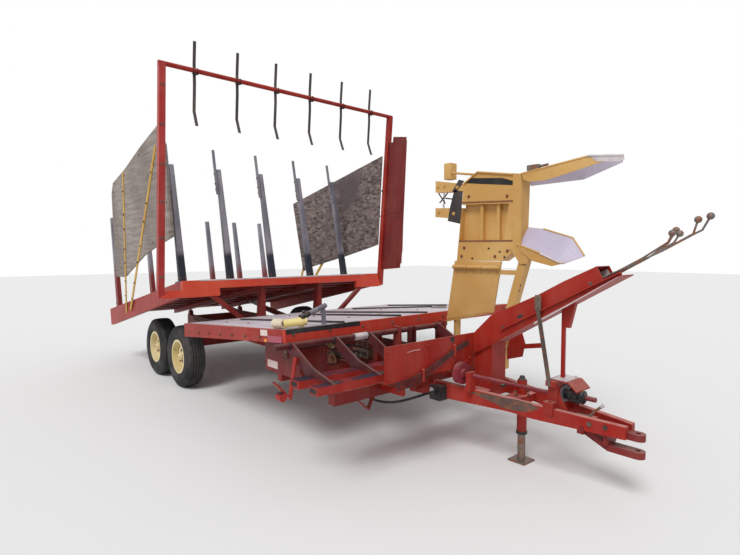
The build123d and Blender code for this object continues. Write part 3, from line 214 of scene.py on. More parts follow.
def paint(name, base, faded, dust_and_top_shading=0.35, rust=0.62, chips=0.66, top=DUST):
    """Old sprayed paint: fades in patches, rusts through in spots; top is the colour laid in patches on
    faces that look up: settled dirt in most looks, painted sunlight in two and painted shade in one.
    """
    look = Look(name, roughness=0.5, specular=0.2)
    fade = look.patches(0.35, 0.7, 1.6, 5)
    streak = look.patches(0.35, 0.75, 9, 6, stretch=(1, 1, 0.25))
    tone = look.mix(fade, base, faded)
    tone = look.mix(look.times(streak, 0.05), tone, DUST)
    spots = look.patches(rust, rust + 0.06, 34, 8, roughness=0.7)
    patch = look.patches(0.42, 0.62, 2.3, 3)
    worn = look.times(spots, patch)
    rusty = look.mix(look.noise(60, 4), RUST, RUST_LIGHT)
    tone = look.mix(worn, tone, rusty)
    scars = look.patches(chips, chips + 0.03, 14, 9, stretch=(1, 1, 1.6), roughness=0.75)
    tone = look.mix(look.times(scars, 0.85), tone, rusty)
    # Faces that look up take the top colour: settled dirt in most looks, painted sunlight on the tongue and
    # the rack's front beam, painted shade on the first table's beams.
    top_dust_and_shading = look.times(look.facing_up(), dust_and_top_shading)
    tone = look.mix(look.times(top_dust_and_shading, look.patches(0.2, 0.6, 5, 6)), tone, top)
    look.rough(look.math("ADD", worn, top_dust_and_shading), 0.42, 0.85)
    return look.done(tone, look.math("ADD", look.noise(90, 3), worn), 0.0012, 0.35)


def steel(name, base, light, rust=0.6, metallic=0.55, roughness=0.5):
    """Bare or galvanised steel with rust blooms."""
    look = Look(name, roughness=roughness, metallic=metallic)
    grain = look.noise(7, 6, stretch=(1, 1, 0.3))
    tone = look.mix(look.ramp(grain, 0.3, 0.7), base, light)
    blooms = look.patches(rust, rust + 0.1, 18, 8, roughness=0.7)
    tone = look.mix(look.times(blooms, 0.8), tone, RUST_LIGHT)
    look.rough(grain, roughness - 0.1, roughness + 0.2)
    return look.done(tone, look.noise(120, 3), 0.0006, 0.3)


def tine_steel(name, node, foot, change, fade):
    """Scoured steel whose foot has another colour up to a share of the height: a red foot on the rear
    tines, painted shade on the tall tines.
    """
    low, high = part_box(node)
    meet = low[2] + (high[2] - low[2]) * change
    look = Look(name, roughness=0.5, metallic=0.3)
    tone = look.mix(look.patches(0.3, 0.7, 7, 6, stretch=(1, 1, 0.3)), (104, 102, 114), (146, 142, 150))
    blooms = look.patches(0.6, 0.7, 18, 8, roughness=0.7)
    tone = look.mix(look.times(blooms, 0.7), tone, RUST_LIGHT)
    rise = look.ramp(look.height(look.place), meet - fade, meet + fade)
    worn = look.math("ADD", look.times(rise, 0.7), look.times(look.noise(12, 6), 0.3))
    return look.done(look.mix(look.ramp(worn, 0.3, 0.7), foot, tone), look.noise(120, 3), 0.0006, 0.3)


def boards(name):
    """Grey weathered planks that run along the rack."""
    look = Look(name, roughness=0.85, specular=0.25)
    grain = look.noise(9, 8, stretch=(0.12, 3.2, 3.2), roughness=0.65)
    broad = look.noise(1.4, 3, stretch=(0.5, 3, 3))
    tone = look.mix(look.ramp(grain, 0.3, 0.7), (92, 82, 76), (158, 146, 136))
    tone = look.mix(look.ramp(broad, 0.4, 0.65), tone, (122, 104, 90))
    return look.done(tone, grain, 0.002, 0.6)


def plywood(name):
    """Plain plywood gone grey, with faint grain and water stains."""
    look = Look(name, roughness=0.85, specular=0.25)
    grain = look.noise(10, 9, stretch=(0.2, 0.2, 2.4), roughness=0.7)
    stain = look.patches(0.42, 0.66, 1.3, 6, stretch=(1, 1, 0.5))
    tone = look.mix(look.ramp(grain, 0.32, 0.7), (128, 118, 112), (170, 160, 152))
    tone = look.mix(look.times(stain, 0.5), tone, (112, 100, 96))
    return look.done(tone, grain, 0.0012, 0.4)


def flake_board(name):
    """Pressed board whose flakes lie at all angles."""
    look = Look(name, roughness=0.85, specular=0.25)
    flakes = look.node("TexVoronoi", Scale=15, Vector=look.stretched((1.0, 1.0, 2.2)))
    tint = look.node("SeparateColor", Color=flakes.outputs["Color"])
    tone = look.mix(tint.outputs[0], (74, 62, 62), (152, 136, 130))
    tone = look.mix(look.times(tint.outputs[1], 0.4), tone, (92, 82, 84))
    tone = look.mix(look.patches(0.45, 0.7, 1.2, 5), tone, (92, 80, 82))
    return look.done(tone, tint.outputs[2], 0.0015, 0.5)


def rubber(name):
    """Dusty black rubber."""
    look = Look(name, roughness=0.8, specular=0.3)
    tone = look.mix(look.times(look.patches(0.35, 0.75, 5, 6), 0.5), (34, 34, 38), (104, 98, 94))
    return look.done(tone, look.noise(160, 3), 0.0005, 0.3)


def deck_sheet(name):
    """Deck sheet scoured pale by bales, with red left in patches and rust."""
    look = Look(name, roughness=0.55, metallic=0.15)
    drag = look.noise(5, 8, stretch=(0.4, 2.5, 1), roughness=0.65)
    tone = look.mix(look.ramp(drag, 0.3, 0.7), (206, 196, 204), (174, 162, 170))
    tone = look.mix(look.patches(0.64, 0.72, 2.2, 6), tone, (140, 60, 50))
    tone = look.mix(look.patches(0.62, 0.7, 15, 8, roughness=0.7), tone, RUST_LIGHT)
    return look.done(tone, drag, 0.001, 0.3)


RED = paint("red_paint", (142, 27, 19), (160, 42, 30), dust_and_top_shading=0.25)
FRAME_RED = paint("frame_paint", (112, 24, 20), (134, 38, 32), dust_and_top_shading=0.25, rust=0.56)
# Dark red: used for the parts of the dark red slot, and as painted shade on the toolbox, its lid and the
# guide sheet's edge.
DARK_RED = paint("dark_red_paint", (98, 24, 24), (120, 36, 34), dust_and_top_shading=0.1, rust=0.58, chips=0.6)
YELLOW = paint("yellow_paint", (196, 150, 84), (214, 174, 110), dust_and_top_shading=0.2, rust=0.64, chips=0.7)
GREY_STEEL = steel("grey_steel", (104, 102, 114), (140, 136, 144), rust=0.6, metallic=0.35)
BARE_STEEL = steel("bare_steel", (96, 86, 80), (134, 124, 116), rust=0.48)
SLOT_LOOKS = {
    "frame_paint": FRAME_RED, "red_paint": RED, "dark_red_paint": DARK_RED, "yellow_paint": YELLOW,
    "grey_steel": GREY_STEEL, "bare_steel": BARE_STEEL, "worn_deck": deck_sheet("worn_deck"),
    "deck_wood": boards("deck_wood"), "grey_plywood": plywood("grey_plywood"),
    "flake_board": flake_board("flake_board"),
    "rim_paint": paint("rim_paint", (214, 196, 140), (226, 212, 172), dust_and_top_shading=0.3, rust=0.6),
    "rod_chrome": steel("rod_chrome", (190, 190, 192), (215, 215, 216), rust=0.75, metallic=0.9,
                        roughness=0.25),
    "tyre_rubber": rubber("tyre_rubber"),
    "hose_rubber": rubber("hose_rubber"),
}
for part in frame["record"]["subparts"]:
    node = frame["nodes"][part["node"]]
    node.data.materials.clear()
    node.data.materials.append(SLOT_LOOKS[part["material_slot"]])

BLACK = paint("black_paint", (30, 30, 34), (52, 50, 54), dust_and_top_shading=0.3, rust=0.66, chips=0.72)
PURPLE = paint("purple_red_paint", (112, 30, 42), (136, 50, 58), dust_and_top_shading=0.2, rust=0.6)
# Dark navy: painted shade on the first table's beam tops and the tall tines' feet.
NAVY = (30, 34, 50)
NODE_LOOKS = {
    # The toolbox takes the dark red as painted shade.
    "drive_shafts": PURPLE, "toolbox": DARK_RED, "hydraulic_pump": BLACK,
    # Dark purple-red on the first table's arms and pivot tube: painted shade.
    "first_table_arms": paint("arm_paint", (74, 22, 28), (98, 34, 40), dust_and_top_shading=0.1, rust=0.6),
    # Navy top faces of the first table's beams: painted shade.
    "first_table_beams": paint("beam_paint", (146, 28, 20), (166, 44, 32), dust_and_top_shading=0.95, top=NAVY),
    # Brighter red on the second table's front beam: painted sunlight.
    "second_table_front_beam": paint("table_beam_paint", (176, 48, 34), (190, 62, 46), dust_and_top_shading=0.4),
    "gantry_post_right": paint("post_paint", (158, 44, 42), (176, 64, 62), dust_and_top_shading=0.3),
    # Pink on the tongue's top faces: painted sunlight.
    "tongue_frame": paint("tongue_paint", (146, 27, 19), (166, 44, 32), dust_and_top_shading=0.7,
                          top=(214, 158, 150)),
    # Rack's front beam: its brighter red is painted sunlight on the front face, and its pale top is worn
    # paint brightened by painted sunlight.
    "rack_front_beam": paint("front_beam_paint", (190, 58, 40), (204, 76, 54), dust_and_top_shading=0.85,
                             top=(222, 206, 206)),
    "hitch_jaws": paint("jaw_paint", (112, 28, 32), (128, 44, 42), dust_and_top_shading=0.2, rust=0.58, chips=0.62),
    "gantry_hooks": steel("hook_steel", (52, 46, 50), (80, 70, 72), rust=0.58, metallic=0.4),
    "panel_braces": paint("brace_paint", (192, 144, 38), (206, 164, 60), dust_and_top_shading=0.1, rust=0.56,
                          chips=0.6),
    # Lavender-grey on the flares: painted shade of their undersides.
    "loader_flares": paint("flare_paint", (184, 176, 198), (206, 198, 216), dust_and_top_shading=0.2, rust=0.64,
                           chips=0.64),
    "rear_tines": tine_steel("rear_tine_steel", "rear_tines", (122, 36, 36), 0.42, 0.45),
    # Navy foot of the tall tines: painted shade.
    "tall_tines": tine_steel("tall_tine_steel", "tall_tines", NAVY, 0.2, 0.12),
}
for name, look in NODE_LOOKS.items():
    frame["nodes"][name].data.materials[0] = look


# Hose that hangs from the pump back to the right frame rail
HOSE_ROUTE = [(3.87, -0.41, 0.525), (3.87, -0.5, 0.525), (3.82, -0.61, 0.497), (3.72, -0.7, 0.46),
              (3.59, -0.735, 0.443), (3.445, -0.735, 0.445), (3.32, -0.7, 0.48), (3.235, -0.64, 0.545),
              (3.205, -0.56, 0.585), (3.205, -0.4575, 0.585)]
HOSE_RADIUS = 0.01


def hydraulic_hose():
    """Free hose as one smooth curve."""
    data = bpy.data.curves.new("hydraulic_line", "CURVE")
    data.dimensions = "3D"
    data.bevel_depth = HOSE_RADIUS
    data.bevel_resolution = 5
    data.use_fill_caps = True
    spline = data.splines.new("NURBS")
    spline.points.add(len(HOSE_ROUTE) - 1)
    for point, route in zip(spline.points, HOSE_ROUTE):
        point.co = (*at(*route), 1)
    spline.order_u = 3
    spline.use_endpoint_u = True
    spline.resolution_u = 12
    data.materials.append(SLOT_LOOKS["hose_rubber"])
    item = placed("hydraulic_line", data)
    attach(item, "chassis")
    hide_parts("hydraulic_hose")


hydraulic_hose()


# Studio
FLOOR_HALF = 40.0
FLOOR_Z = -HITCH_Z
FLOOR_COLOUR = (0.8, 0.8, 0.8, 1)
LIGHT_AROUND = 0.6
SUN_STRENGTH = 1.8
SUN_SPREAD = 24
SUN_RUN = (-0.35, 0.75, -1.0)


def studio():
    """Pale floor, white surroundings, one broad soft sun and even light from all round."""
    mesh = bpy.data.meshes.new("floor")
    ends = (-FLOOR_HALF, FLOOR_HALF)
    mesh.from_pydata([(x, y, FLOOR_Z) for x in ends for y in ends], [], [(0, 2, 3, 1)])
    floor = placed("floor", mesh)
    look = Look("floor", roughness=0.9, specular=0.1)
    look.shader.inputs["Base Color"].default_value = FLOOR_COLOUR
    mesh.materials.append(look.material)
    world = bpy.data.worlds.new("studio")
    bpy.context.scene.world = world
    world.use_nodes = True
    nodes = world.node_tree.nodes
    links = world.node_tree.links
    back = nodes["Background"]
    back.inputs["Color"].default_value = (1, 1, 1, 1)
    path = nodes.new("ShaderNodeLightPath")
    seen = path.outputs["Is Camera Ray"]
    for ray in ("Is Glossy Ray", "Is Transmission Ray"):
        either = nodes.new("ShaderNodeMath")
        either.operation = "MAXIMUM"
        links.new(seen, either.inputs[0])
        links.new(path.outputs[ray], either.inputs[1])
        seen = either.outputs[0]
    strength = nodes.new("ShaderNodeMapRange")
    strength.inputs["To Min"].default_value = LIGHT_AROUND
    strength.inputs["To Max"].default_value = 1.0
    links.new(seen, strength.inputs["Value"])
    links.new(strength.outputs["Result"], back.inputs["Strength"])
    data = bpy.data.lights.new("sun", "SUN")
    data.energy = SUN_STRENGTH
    data.angle = math.radians(SUN_SPREAD)
    placed("sun", data).rotation_euler = Vector(SUN_RUN).to_track_quat("-Z", "Y").to_euler()


studio()
bpy.context.scene.view_settings.view_transform = "Standard"


# Mesh helpers
RIGHT = Vector((0, -1, 0))
LEFT = Vector((0, 1, 0))
FORWARD = Vector((1, 0, 0))
UP = Vector((0, 0, 1))
SHARP_DEGREES = 35
LARGEST_CHAMFER = 0.004


def piece(name, body, material, build):
    """Object whose mesh build fills in, riding on a body."""
    shape = bmesh.new()
    build(shape)
    mesh = bpy.data.meshes.new(name)
    bmesh.ops.recalc_face_normals(shape, faces=shape.faces)
    for face in shape.faces:
        face.smooth = True
    shape.to_mesh(mesh)
    shape.free()
    mesh.set_sharp_from_angle(angle=math.radians(SHARP_DEGREES))
    mesh.materials.append(material)
    item = placed(name, mesh)
    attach(item, body)
    return item


def riding(body, material):
    """Turn the function below, which fills in a mesh, into a piece of its name on a body."""
    def make(build):
        return piece(build.__name__, body, material, build)

    return make


def frame_of(run):
    """Two directions square to a run."""
    along = run.normalized()
    side = along.cross(UP if abs(along.z) < 0.9 else FORWARD).normalized()
    return side, along.cross(side).normalized()


def circle(centre, side, up, radius, sides):
    """Points evenly round a centre."""
    turns = [math.tau * turn / sides for turn in range(sides)]
    return [centre + (side * math.cos(turn) + up * math.sin(turn)) * radius for turn in turns]


def skin(shape, outlines, closed=False):
    """Faces from each outline of points to the next, with end caps or closed on itself."""
    rings = [[shape.verts.new(point) for point in outline] for outline in outlines]
    faces = []
    for first, second in zip(rings, rings[1:] + rings[:1] if closed else rings[1:]):
        for turn in range(len(first)):
            after = (turn + 1) % len(first)
            faces.append(shape.faces.new((first[turn], first[after], second[after], second[turn])))
    if not closed:
        faces += [shape.faces.new(rings[0][::-1]), shape.faces.new(rings[-1])]
    return faces


def tube(shape, start, end, radius, sides=16, tip=None):
    """Round bar between two points; tip gives another radius at its end."""
    side, up = frame_of(end - start)
    skin(shape, [circle(start, side, up, radius, sides),
                 circle(end, side, up, radius if tip is None else tip, sides)])


def slab(shape, place, low, high):
    """Box between two corners of a frame, with small chamfers along its edges."""
    outline = ((low[1], low[2]), (low[1], high[2]), (high[1], high[2]), (high[1], low[2]))
    faces = skin(shape, [[place(x, y, z) for y, z in outline] for x in (low[0], high[0])])
    thin = min(high[axis] - low[axis] for axis in range(3))
    edges = list({edge for face in faces for edge in face.edges})
    chamfer = min(thin * 0.25, LARGEST_CHAMFER)
    bmesh.ops.bevel(shape, geom=edges, offset=chamfer, segments=1, affect="EDGES")


def sheet(shape, corners, thick):
    """Flat plate with an outline of any shape; thick is the vector from one face to the other."""
    skin(shape, [corners, [point + thick for point in corners]])


def plate(shape, y, outline, thick):
    """Thin plate square to Y, from y to y + thick, with an outline of x and z values."""
    sheet(shape, [at(x, y, z) for x, z in outline], Vector((0, thick, 0)))


def strip(shape, start, end, rise, thick):
    """Strip of sheet above its lower edge."""
    sheet(shape, [start, end, end + UP * rise, start + UP * rise], thick)


def lathe(shape, start, along, profile, sides=28):
    """Turned piece: each station gives the distance from start along the axis, and the radius."""
    side, up = frame_of(along)
    skin(shape, [circle(start + along.normalized() * reach, side, up, radius, sides)
                 for reach, radius in profile], closed=True)


def oval(shape, centre, across, upward, facing, depth=0.0015):
    """Thin oval plate; across and upward are its half axes."""
    sheet(shape, circle(centre, across, upward, 1, 20), facing.normalized() * depth)


def bolt(shape, place, facing, size):
    """Hexagon head on a washer; size is half the head's width."""
    facing = facing.normalized()
    tube(shape, place, place + facing * size * 0.25, size * 1.5, 16)
    tube(shape, place + facing * size * 0.25, place + facing * size * 1.1, size, 6, size * 0.94)


def pipe(shape, points, radius, sides=10):
    """Round bar bent along a line of points."""
    rings = []
    for before, point, after in zip(points[:1] + points, points, points[1:] + points[-1:]):
        run = (after - before).normalized()
        if rings:
            side = (side - run * side.dot(run)).normalized()
            up = run.cross(side)
        else:
            side, up = frame_of(run)
        rings.append(circle(point, side, up, radius, sides))
    skin(shape, rings)


# Tyres with ribbed treads
TYRE_RADIUS = 0.38
TYRE_WIDTH = 0.241
WHEEL_Y = 1.14
TANDEM_SPACING = 0.85
RIB_COUNT = 5
GROOVE_DEPTH = 0.01
GROOVE_WIDTH = 0.012
GROOVE_SLOPE = 0.001
CROWN_DROP = 0.014
TREAD_SHARE = 0.66
TREAD_SWAY = 0.0025
TREAD_FROM = 0.365
TYRE_STEPS = 120
WHEELS = [("front_right", 1, -1), ("rear_right", -1, -1), ("front_left", 1, 1), ("rear_left", -1, 1)]


def wheel_centre(end, side):
    return at(end * TANDEM_SPACING / 2, side * WHEEL_Y, TYRE_RADIUS)


def tyre_profile():
    """Half section of the tyre from bead to bead: distance along the axle and radius."""
    half = TYRE_WIDTH / 2
    seat = 0.0932
    side = [(seat, 0.1905), (seat, 0.206), (half * 0.86, 0.222), (half * 0.95, 0.24),
            (half * 0.955, 0.243), (half * 0.985, 0.262), (half, 0.285), (half * 0.99, 0.31),
            (half * 0.985, 0.314), (half * 0.93, 0.332), (half * 0.86, 0.345), (half * 0.8, 0.3585),
            (half * 0.72, 0.3712)]
    tread_half = half * TREAD_SHARE
    cut = GROOVE_WIDTH / 2

    def crown(across):
        """Radius of the tread."""
        return TYRE_RADIUS - CROWN_DROP * (across / half) ** 2

    tread = [(tread_half, crown(tread_half))]
    for index in range(1, RIB_COUNT):
        middle = tread_half * (1 - 2 * index / RIB_COUNT)
        top = crown(middle)
        tread += [(middle + cut + GROOVE_SLOPE, top), (middle + cut, top - GROOVE_DEPTH),
                  (middle - cut, top - GROOVE_DEPTH), (middle - cut - GROOVE_SLOPE, top)]
    tread.append((-tread_half, crown(tread_half)))
    return side + tread + [(-across, radius) for across, radius in reversed(side)]


def tyre_piece(name, centre):
    """Tyre turned about its axle; its grooves wander a little so that the ribs look wavy."""
    profile = tyre_profile()

    def outline(step):
        angle = math.tau * step / TYRE_STEPS
        sway = TREAD_SWAY * (1 if step % 4 < 2 else -1)
        points = []
        for across, radius in profile:
            shift = sway if radius > TREAD_FROM and abs(across) < TYRE_WIDTH * 0.3 else 0
            points.append(centre + Vector((radius * math.cos(angle), across + shift,
                                           radius * math.sin(angle))))
        return points

    def build(shape):
        skin(shape, [outline(step) for step in range(TYRE_STEPS)], closed=True)

    item = piece("tread_" + name, "wheel_" + name, SLOT_LOOKS["tyre_rubber"], build)
    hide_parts("tyre_" + name)


for wheel, end, side in WHEELS:
    tyre_piece(wheel, wheel_centre(end, side))


# Details, placed on the wagon or on its tilted rack and table
def tilted(pivot_x, pivot_z, degrees):
    """Placing function of a tilted deck: forward along it, left, and square to it."""
    slope = math.radians(degrees)

    def place(along, y, over):
        return at(pivot_x + along * math.cos(slope) - over * math.sin(slope), y,
                  pivot_z + along * math.sin(slope) + over * math.cos(slope))

    return place


rack = tilted(-1.28, 0.7, 10.5)
table = tilted(1.3, 0.813, 4.79)

# Pale steel: worn and scratched spots, and painted sunlight on the rack's front edge and the upper flare's
# tip.
PALE = steel("pale_worn_and_sunlit_steel", (186, 178, 182), (214, 206, 206), rust=0.66, metallic=0.25)
RUSTY = steel("rusty_steel", (104, 66, 48), (138, 96, 72), rust=0.45, metallic=0.2, roughness=0.7)
BOLTS = steel("bolt_steel", (74, 64, 60), (120, 108, 98), rust=0.5, metallic=0.6)
LENS = paint("reflector", (158, 66, 84), (178, 98, 112), dust_and_top_shading=0.2, rust=0.9, chips=0.9)
AMBER = paint("amber_reflector", (222, 128, 30), (232, 152, 60), dust_and_top_shading=0.2, rust=0.9, chips=0.9)
DECAL = paint("blank_label", (224, 206, 204), (206, 176, 172), dust_and_top_shading=0.1, rust=0.8, chips=0.62)
GUARD = paint("guard_plastic", (226, 202, 120), (232, 214, 152), dust_and_top_shading=0.3, rust=0.85, chips=0.85)
WORN_BROWN = steel("worn_brown_steel", (82, 60, 54), (108, 82, 74), rust=0.5, metallic=0.2, roughness=0.7)
# Near-black steel: painted shade in the loader's corner, and the struts there.
DARK_WEB = steel("dark_web_steel", (50, 44, 44), (74, 66, 64), rust=0.62, metallic=0.3)
CREAM = paint("cream_plastic", (222, 210, 186), (206, 190, 164), dust_and_top_shading=0.3, rust=0.85, chips=0.85)


def bolt_row(shape, start, end, count, facing, size):
    """Bolts evenly spaced from start to end."""
    for index in range(count):
        bolt(shape, start.lerp(end, index / (count - 1)), facing, size)


def ring(shape, centre, axis, radius, thick, sides=20):
    """Round bar bent to a closed ring."""
    side, up = frame_of(axis)
    outs = circle(Vector(), side, up, 1, sides)
    skin(shape, [circle(centre + out * radius, out, axis.normalized(), thick, 8) for out in outs],
         closed=True)


# Wheels: a nut on each stud, a valve stem and a grease nipple in the cap
STUD_COUNT = 5
STUD_CIRCLE = 0.074
NUT_WASHER = [(0, 0.0092), (0, 0.019), (0.004, 0.019), (0.004, 0.0092)]
NUT = [(0, 0.0092), (0, 0.0155), (0.009, 0.0155), (0.011, 0.0125), (0.011, 0.0092)]
NIPPLE = [(0.001, 0.002), (0.001, 0.007), (0.006, 0.007), (0.012, 0.004), (0.014, 0.002)]


def wheel_trim(name, centre, side):
    def build(shape):
        out = LEFT * side
        for turn in range(STUD_COUNT):
            angle = math.radians(360 / STUD_COUNT * turn + 18)
            place = centre + Vector((side * math.cos(angle), 0, math.sin(angle))) * STUD_CIRCLE
            lathe(shape, place + out * 0.052, out, NUT_WASHER, 16)
            lathe(shape, place + out * 0.056, out, NUT, 6)
        stem = centre + Vector((0.155, side * 0.016, 0.03))
        tube(shape, stem, stem + out * 0.04 + Vector((-0.012, 0, 0)), 0.005, 10)
        lathe(shape, centre + out * 0.094, out, NIPPLE, 10)

    piece("wheel_nuts_" + name, "wheel_" + name, BOLTS, build)


for wheel, end, side in WHEELS:
    wheel_trim(wheel, wheel_centre(end, side), side)


# Gantry: bolts of the right post, braces and sheets, clamps that hold the hooks, worn front edge brightened
# with painted sunlight
POST_FOOT = (1.12, -1.655, 1.182)
POST_HEAD = (1.16, -1.603, 3.623)
BEAM_Z = POST_HEAD[2]
HOOK_COUNT, HOOK_PITCH = 6, 0.5

# Leaning planes: y at one height, that height, and how far y changes with z
RIGHT_PANEL = (-1.5833, 3.0, -0.0716)
GUIDE_SHEET = (1.4625, 1.186, 0.0661)
GUIDE_BOLTS = (1.3993, 1.182, 0.0661)


def right_post(z):
    """Middle of the right post at a height: x and y."""
    share = (z - POST_FOOT[2]) / (POST_HEAD[2] - POST_FOOT[2])
    return [foot + (head - foot) * share for foot, head in zip(POST_FOOT[:2], POST_HEAD)]


def leaning(x, z, plane_y, plane_z, lean):
    """Point of a leaning plane."""
    return at(x, plane_y + lean * (z - plane_z), z)


def spread(count, pitch):
    """Places evenly spaced to both sides of the middle."""
    return [(index - (count - 1) / 2) * pitch for index in range(count)]


@riding("load_rack", BOLTS)
def gantry_bolts(shape):
    for z in (1.4, 1.81, 2.19, 2.58, 2.99, 3.4):
        x, y = right_post(z)
        for shift in (-0.016, 0.016):
            bolt(shape, at(x + 0.032, y + shift, z), FORWARD, 0.009)
    # The brace bolts' heads differ in size
    for start, end, mixing in (((-0.994, 0.99), (-0.56, 2.575), 8), ((-0.74, 0.958), (0.7, 2.692), 9)):
        low = leaning(*start, *RIGHT_PANEL) + RIGHT * 0.008
        high = leaning(*end, *RIGHT_PANEL) + RIGHT * 0.008
        for share in (0.04, 0.17, 0.33, 0.45, 0.62, 0.74, 0.93):
            bolt(shape, low.lerp(high, share), RIGHT, 0.008 + 0.004 * (share * mixing % 1))
    for x, z in ((1.0, 2.98), (1.0, 2.6), (1.0, 2.2), (1.0, 1.88), (0.2, 2.82), (-0.5, 2.66), (-1.1, 2.5),
                 (-1.28, 1.9), (-1.34, 1.4), (0.4, 1.77), (-0.4, 1.56)):
        bolt(shape, leaning(x, z, *RIGHT_PANEL), RIGHT, 0.008)
    for x, z in ((1.177, 2.922), (1.148, 2.544), (1.119, 2.179), (1.091, 1.827)):
        bolt(shape, leaning(x, z, *GUIDE_BOLTS), RIGHT, 0.011)


@riding("load_rack", BLACK)
def hook_clamps(shape):
    for y in spread(HOOK_COUNT, HOOK_PITCH):
        for shift in (-0.021, 0.021):
            ring(shape, at(1.16, y + shift, BEAM_Z), LEFT, 0.0292, 0.004)
            bolt(shape, at(1.164, y + shift, BEAM_Z - 0.033), -UP, 0.008)
        slab(shape, at, (1.142, y - 0.032, BEAM_Z - 0.039), (1.186, y + 0.032, BEAM_Z - 0.0325))


# Dark red, as on the guide sheet: painted shade.
@riding("load_rack", DARK_RED)
def guide_fold(shape):
    """Folded front edge of the guide sheet and the seam halfway up."""
    tube(shape, leaning(1.545, 1.5, *GUIDE_SHEET), leaning(1.534, 3.22, *GUIDE_SHEET), 0.009, 10)
    strip(shape, leaning(1.17, 2.2, *GUIDE_SHEET) + RIGHT * 0.007,
          leaning(1.52, 2.22, *GUIDE_SHEET) + RIGHT * 0.007, 0.012, RIGHT * 0.0015)


@riding("load_rack", PALE)
def rack_edge(shape):
    """Edge of the rack's front beam scoured bright by bales and brightened with painted sunlight, with the
    dull strip above it.
    """
    slab(shape, rack, (2.466, -1.23, 0.1985), (2.4865, 1.18, 0.2045))
    slab(shape, rack, (2.4825, -1.23, 0.19), (2.4865, 1.18, 0.2045))


# Tines: bolts at their feet and where the extensions overlap
REAR_TINE_COUNT, REAR_TINE_PITCH = 6, 0.52
TALL_TINE_COUNT, TALL_TINE_PITCH = 5, 0.61
TALL_TINE_LEAN = math.tan(math.radians(2))


@riding("load_rack", RUSTY)
def rear_tine_bolts(shape):
    for y in spread(REAR_TINE_COUNT, REAR_TINE_PITCH):
        for over in (0.225, 0.285):
            for side in (-1, 1):
                bolt(shape, rack(-0.635, y + side * 0.03, over), Vector((0, side, 0)), 0.01)


@riding("rolling_rack", RUSTY)
def tall_tine_bolts(shape):
    for y in spread(TALL_TINE_COUNT, TALL_TINE_PITCH):
        for over in (1.45, 1.53, 1.66):
            bolt(shape, rack(1.939 - TALL_TINE_LEAN * (over - 0.26), y - 0.058, over), RIGHT, 0.009)
        for shift in (-0.03, 0.03):
            bolt(shape, rack(1.97, y + shift, 0.3), rack(1, 0, 0) - rack(0, 0, 0), 0.008)


# Second table: strips along the deck, a painted shadow along the front beam's top edge, label and reflector
# on the right side, bolts along the sides
DECK_OVER = 0.09
SIDE_Y = 1.453

# Strips along the deck: rear end and its y, front end and its y, half width
DECK_STRIPS = [(0.3, -0.96, 1.99, -0.87, 0.021), (0.5, -0.285, 1.99, -0.21, 0.021),
               (0.36, 0.042, 1.98, 0.157, 0.02), (0.32, 0.576, 1.33, 0.932, 0.021),
               (0.29, 1.21, 1.33, 1.2, 0.018)]


@riding("second_table", BLACK)
def deck_strips(shape):
    for rear, y, front, end_y, half in DECK_STRIPS:
        section = ((-half, 0), (-half * 0.7, 0.016), (half * 0.7, 0.016), (half, 0))
        sheet(shape, [table(rear, y + across, DECK_OVER + rise) for across, rise in section],
              table(front, end_y, 0) - table(rear, y, 0))
    dark_patch = ((1.22, 1.05), (1.34, 1.2), (1.7, 0.777), (1.48, 0.773))
    sheet(shape, [table(along, y, DECK_OVER) for along, y in dark_patch], UP * 0.003)
    # Black band on the front beam's top and the top of its front face: painted shadow.
    slab(shape, table, (1.985, -1.445, DECK_OVER), (2.0275, -0.72, DECK_OVER + 0.0025))
    slab(shape, table, (2.0255, -1.445, 0.055), (2.0275, -0.72, DECK_OVER + 0.0025))


@riding("second_table", BOLTS)
def table_bolts(shape):
    bolt_row(shape, table(0.08, -SIDE_Y, 0.0), table(1.62, -SIDE_Y, 0.02), 7, RIGHT, 0.009)
    bolt_row(shape, table(0.08, SIDE_Y, 0.0), table(1.9, SIDE_Y, 0.02), 8, LEFT, 0.009)
    bolt_row(shape, table(2.026, -1.38, 0.045), table(2.026, 1.38, 0.045), 9, FORWARD, 0.009)
    for y in (-1.2, -0.45, 0.5, 1.2):
        for along in (0.45, 0.93, 1.53):
            bolt(shape, table(along, y, DECK_OVER), UP, 0.008)


piece("table_label", "second_table", DECAL,
      lambda shape: slab(shape, table, (1.64, -SIDE_Y - 0.0015, 0.034), (1.752, -SIDE_Y, 0.082)))
piece("table_reflector", "second_table", LENS,
      lambda shape: slab(shape, table, (1.765, -SIDE_Y - 0.008, -0.012), (1.98, -SIDE_Y, 0.038)))
piece("table_amber", "second_table", AMBER,
      lambda shape: slab(shape, table, (1.7, -SIDE_Y - 0.006, -0.014), (1.745, -SIDE_Y, 0.01)))


# Driveline stowed on the deck: bell, shield tube, joint and bare end
@riding("second_table", CREAM)
def stowed_bell(shape):
    start = table(1.765, -1.385, 0.13)
    section = [(0, 0.034), (0, 0.039), (0.02, 0.04), (0.08, 0.038), (0.145, 0.034), (0.145, 0.026),
               (0.08, 0.032), (0.02, 0.035)]
    lathe(shape, start, table(1.905, -1.385, 0.13) - start, section)


@riding("second_table", GUARD)
def stowed_guard(shape):
    start = table(1.895, -1.385, 0.13)
    end = table(1.982, -1.222, 0.14)
    tube(shape, start, end, 0.033, 24)
    collar = [(0, 0.033), (0, 0.042), (0.04, 0.042), (0.045, 0.033)]
    lathe(shape, start.lerp(end, 0.62), end - start, collar)


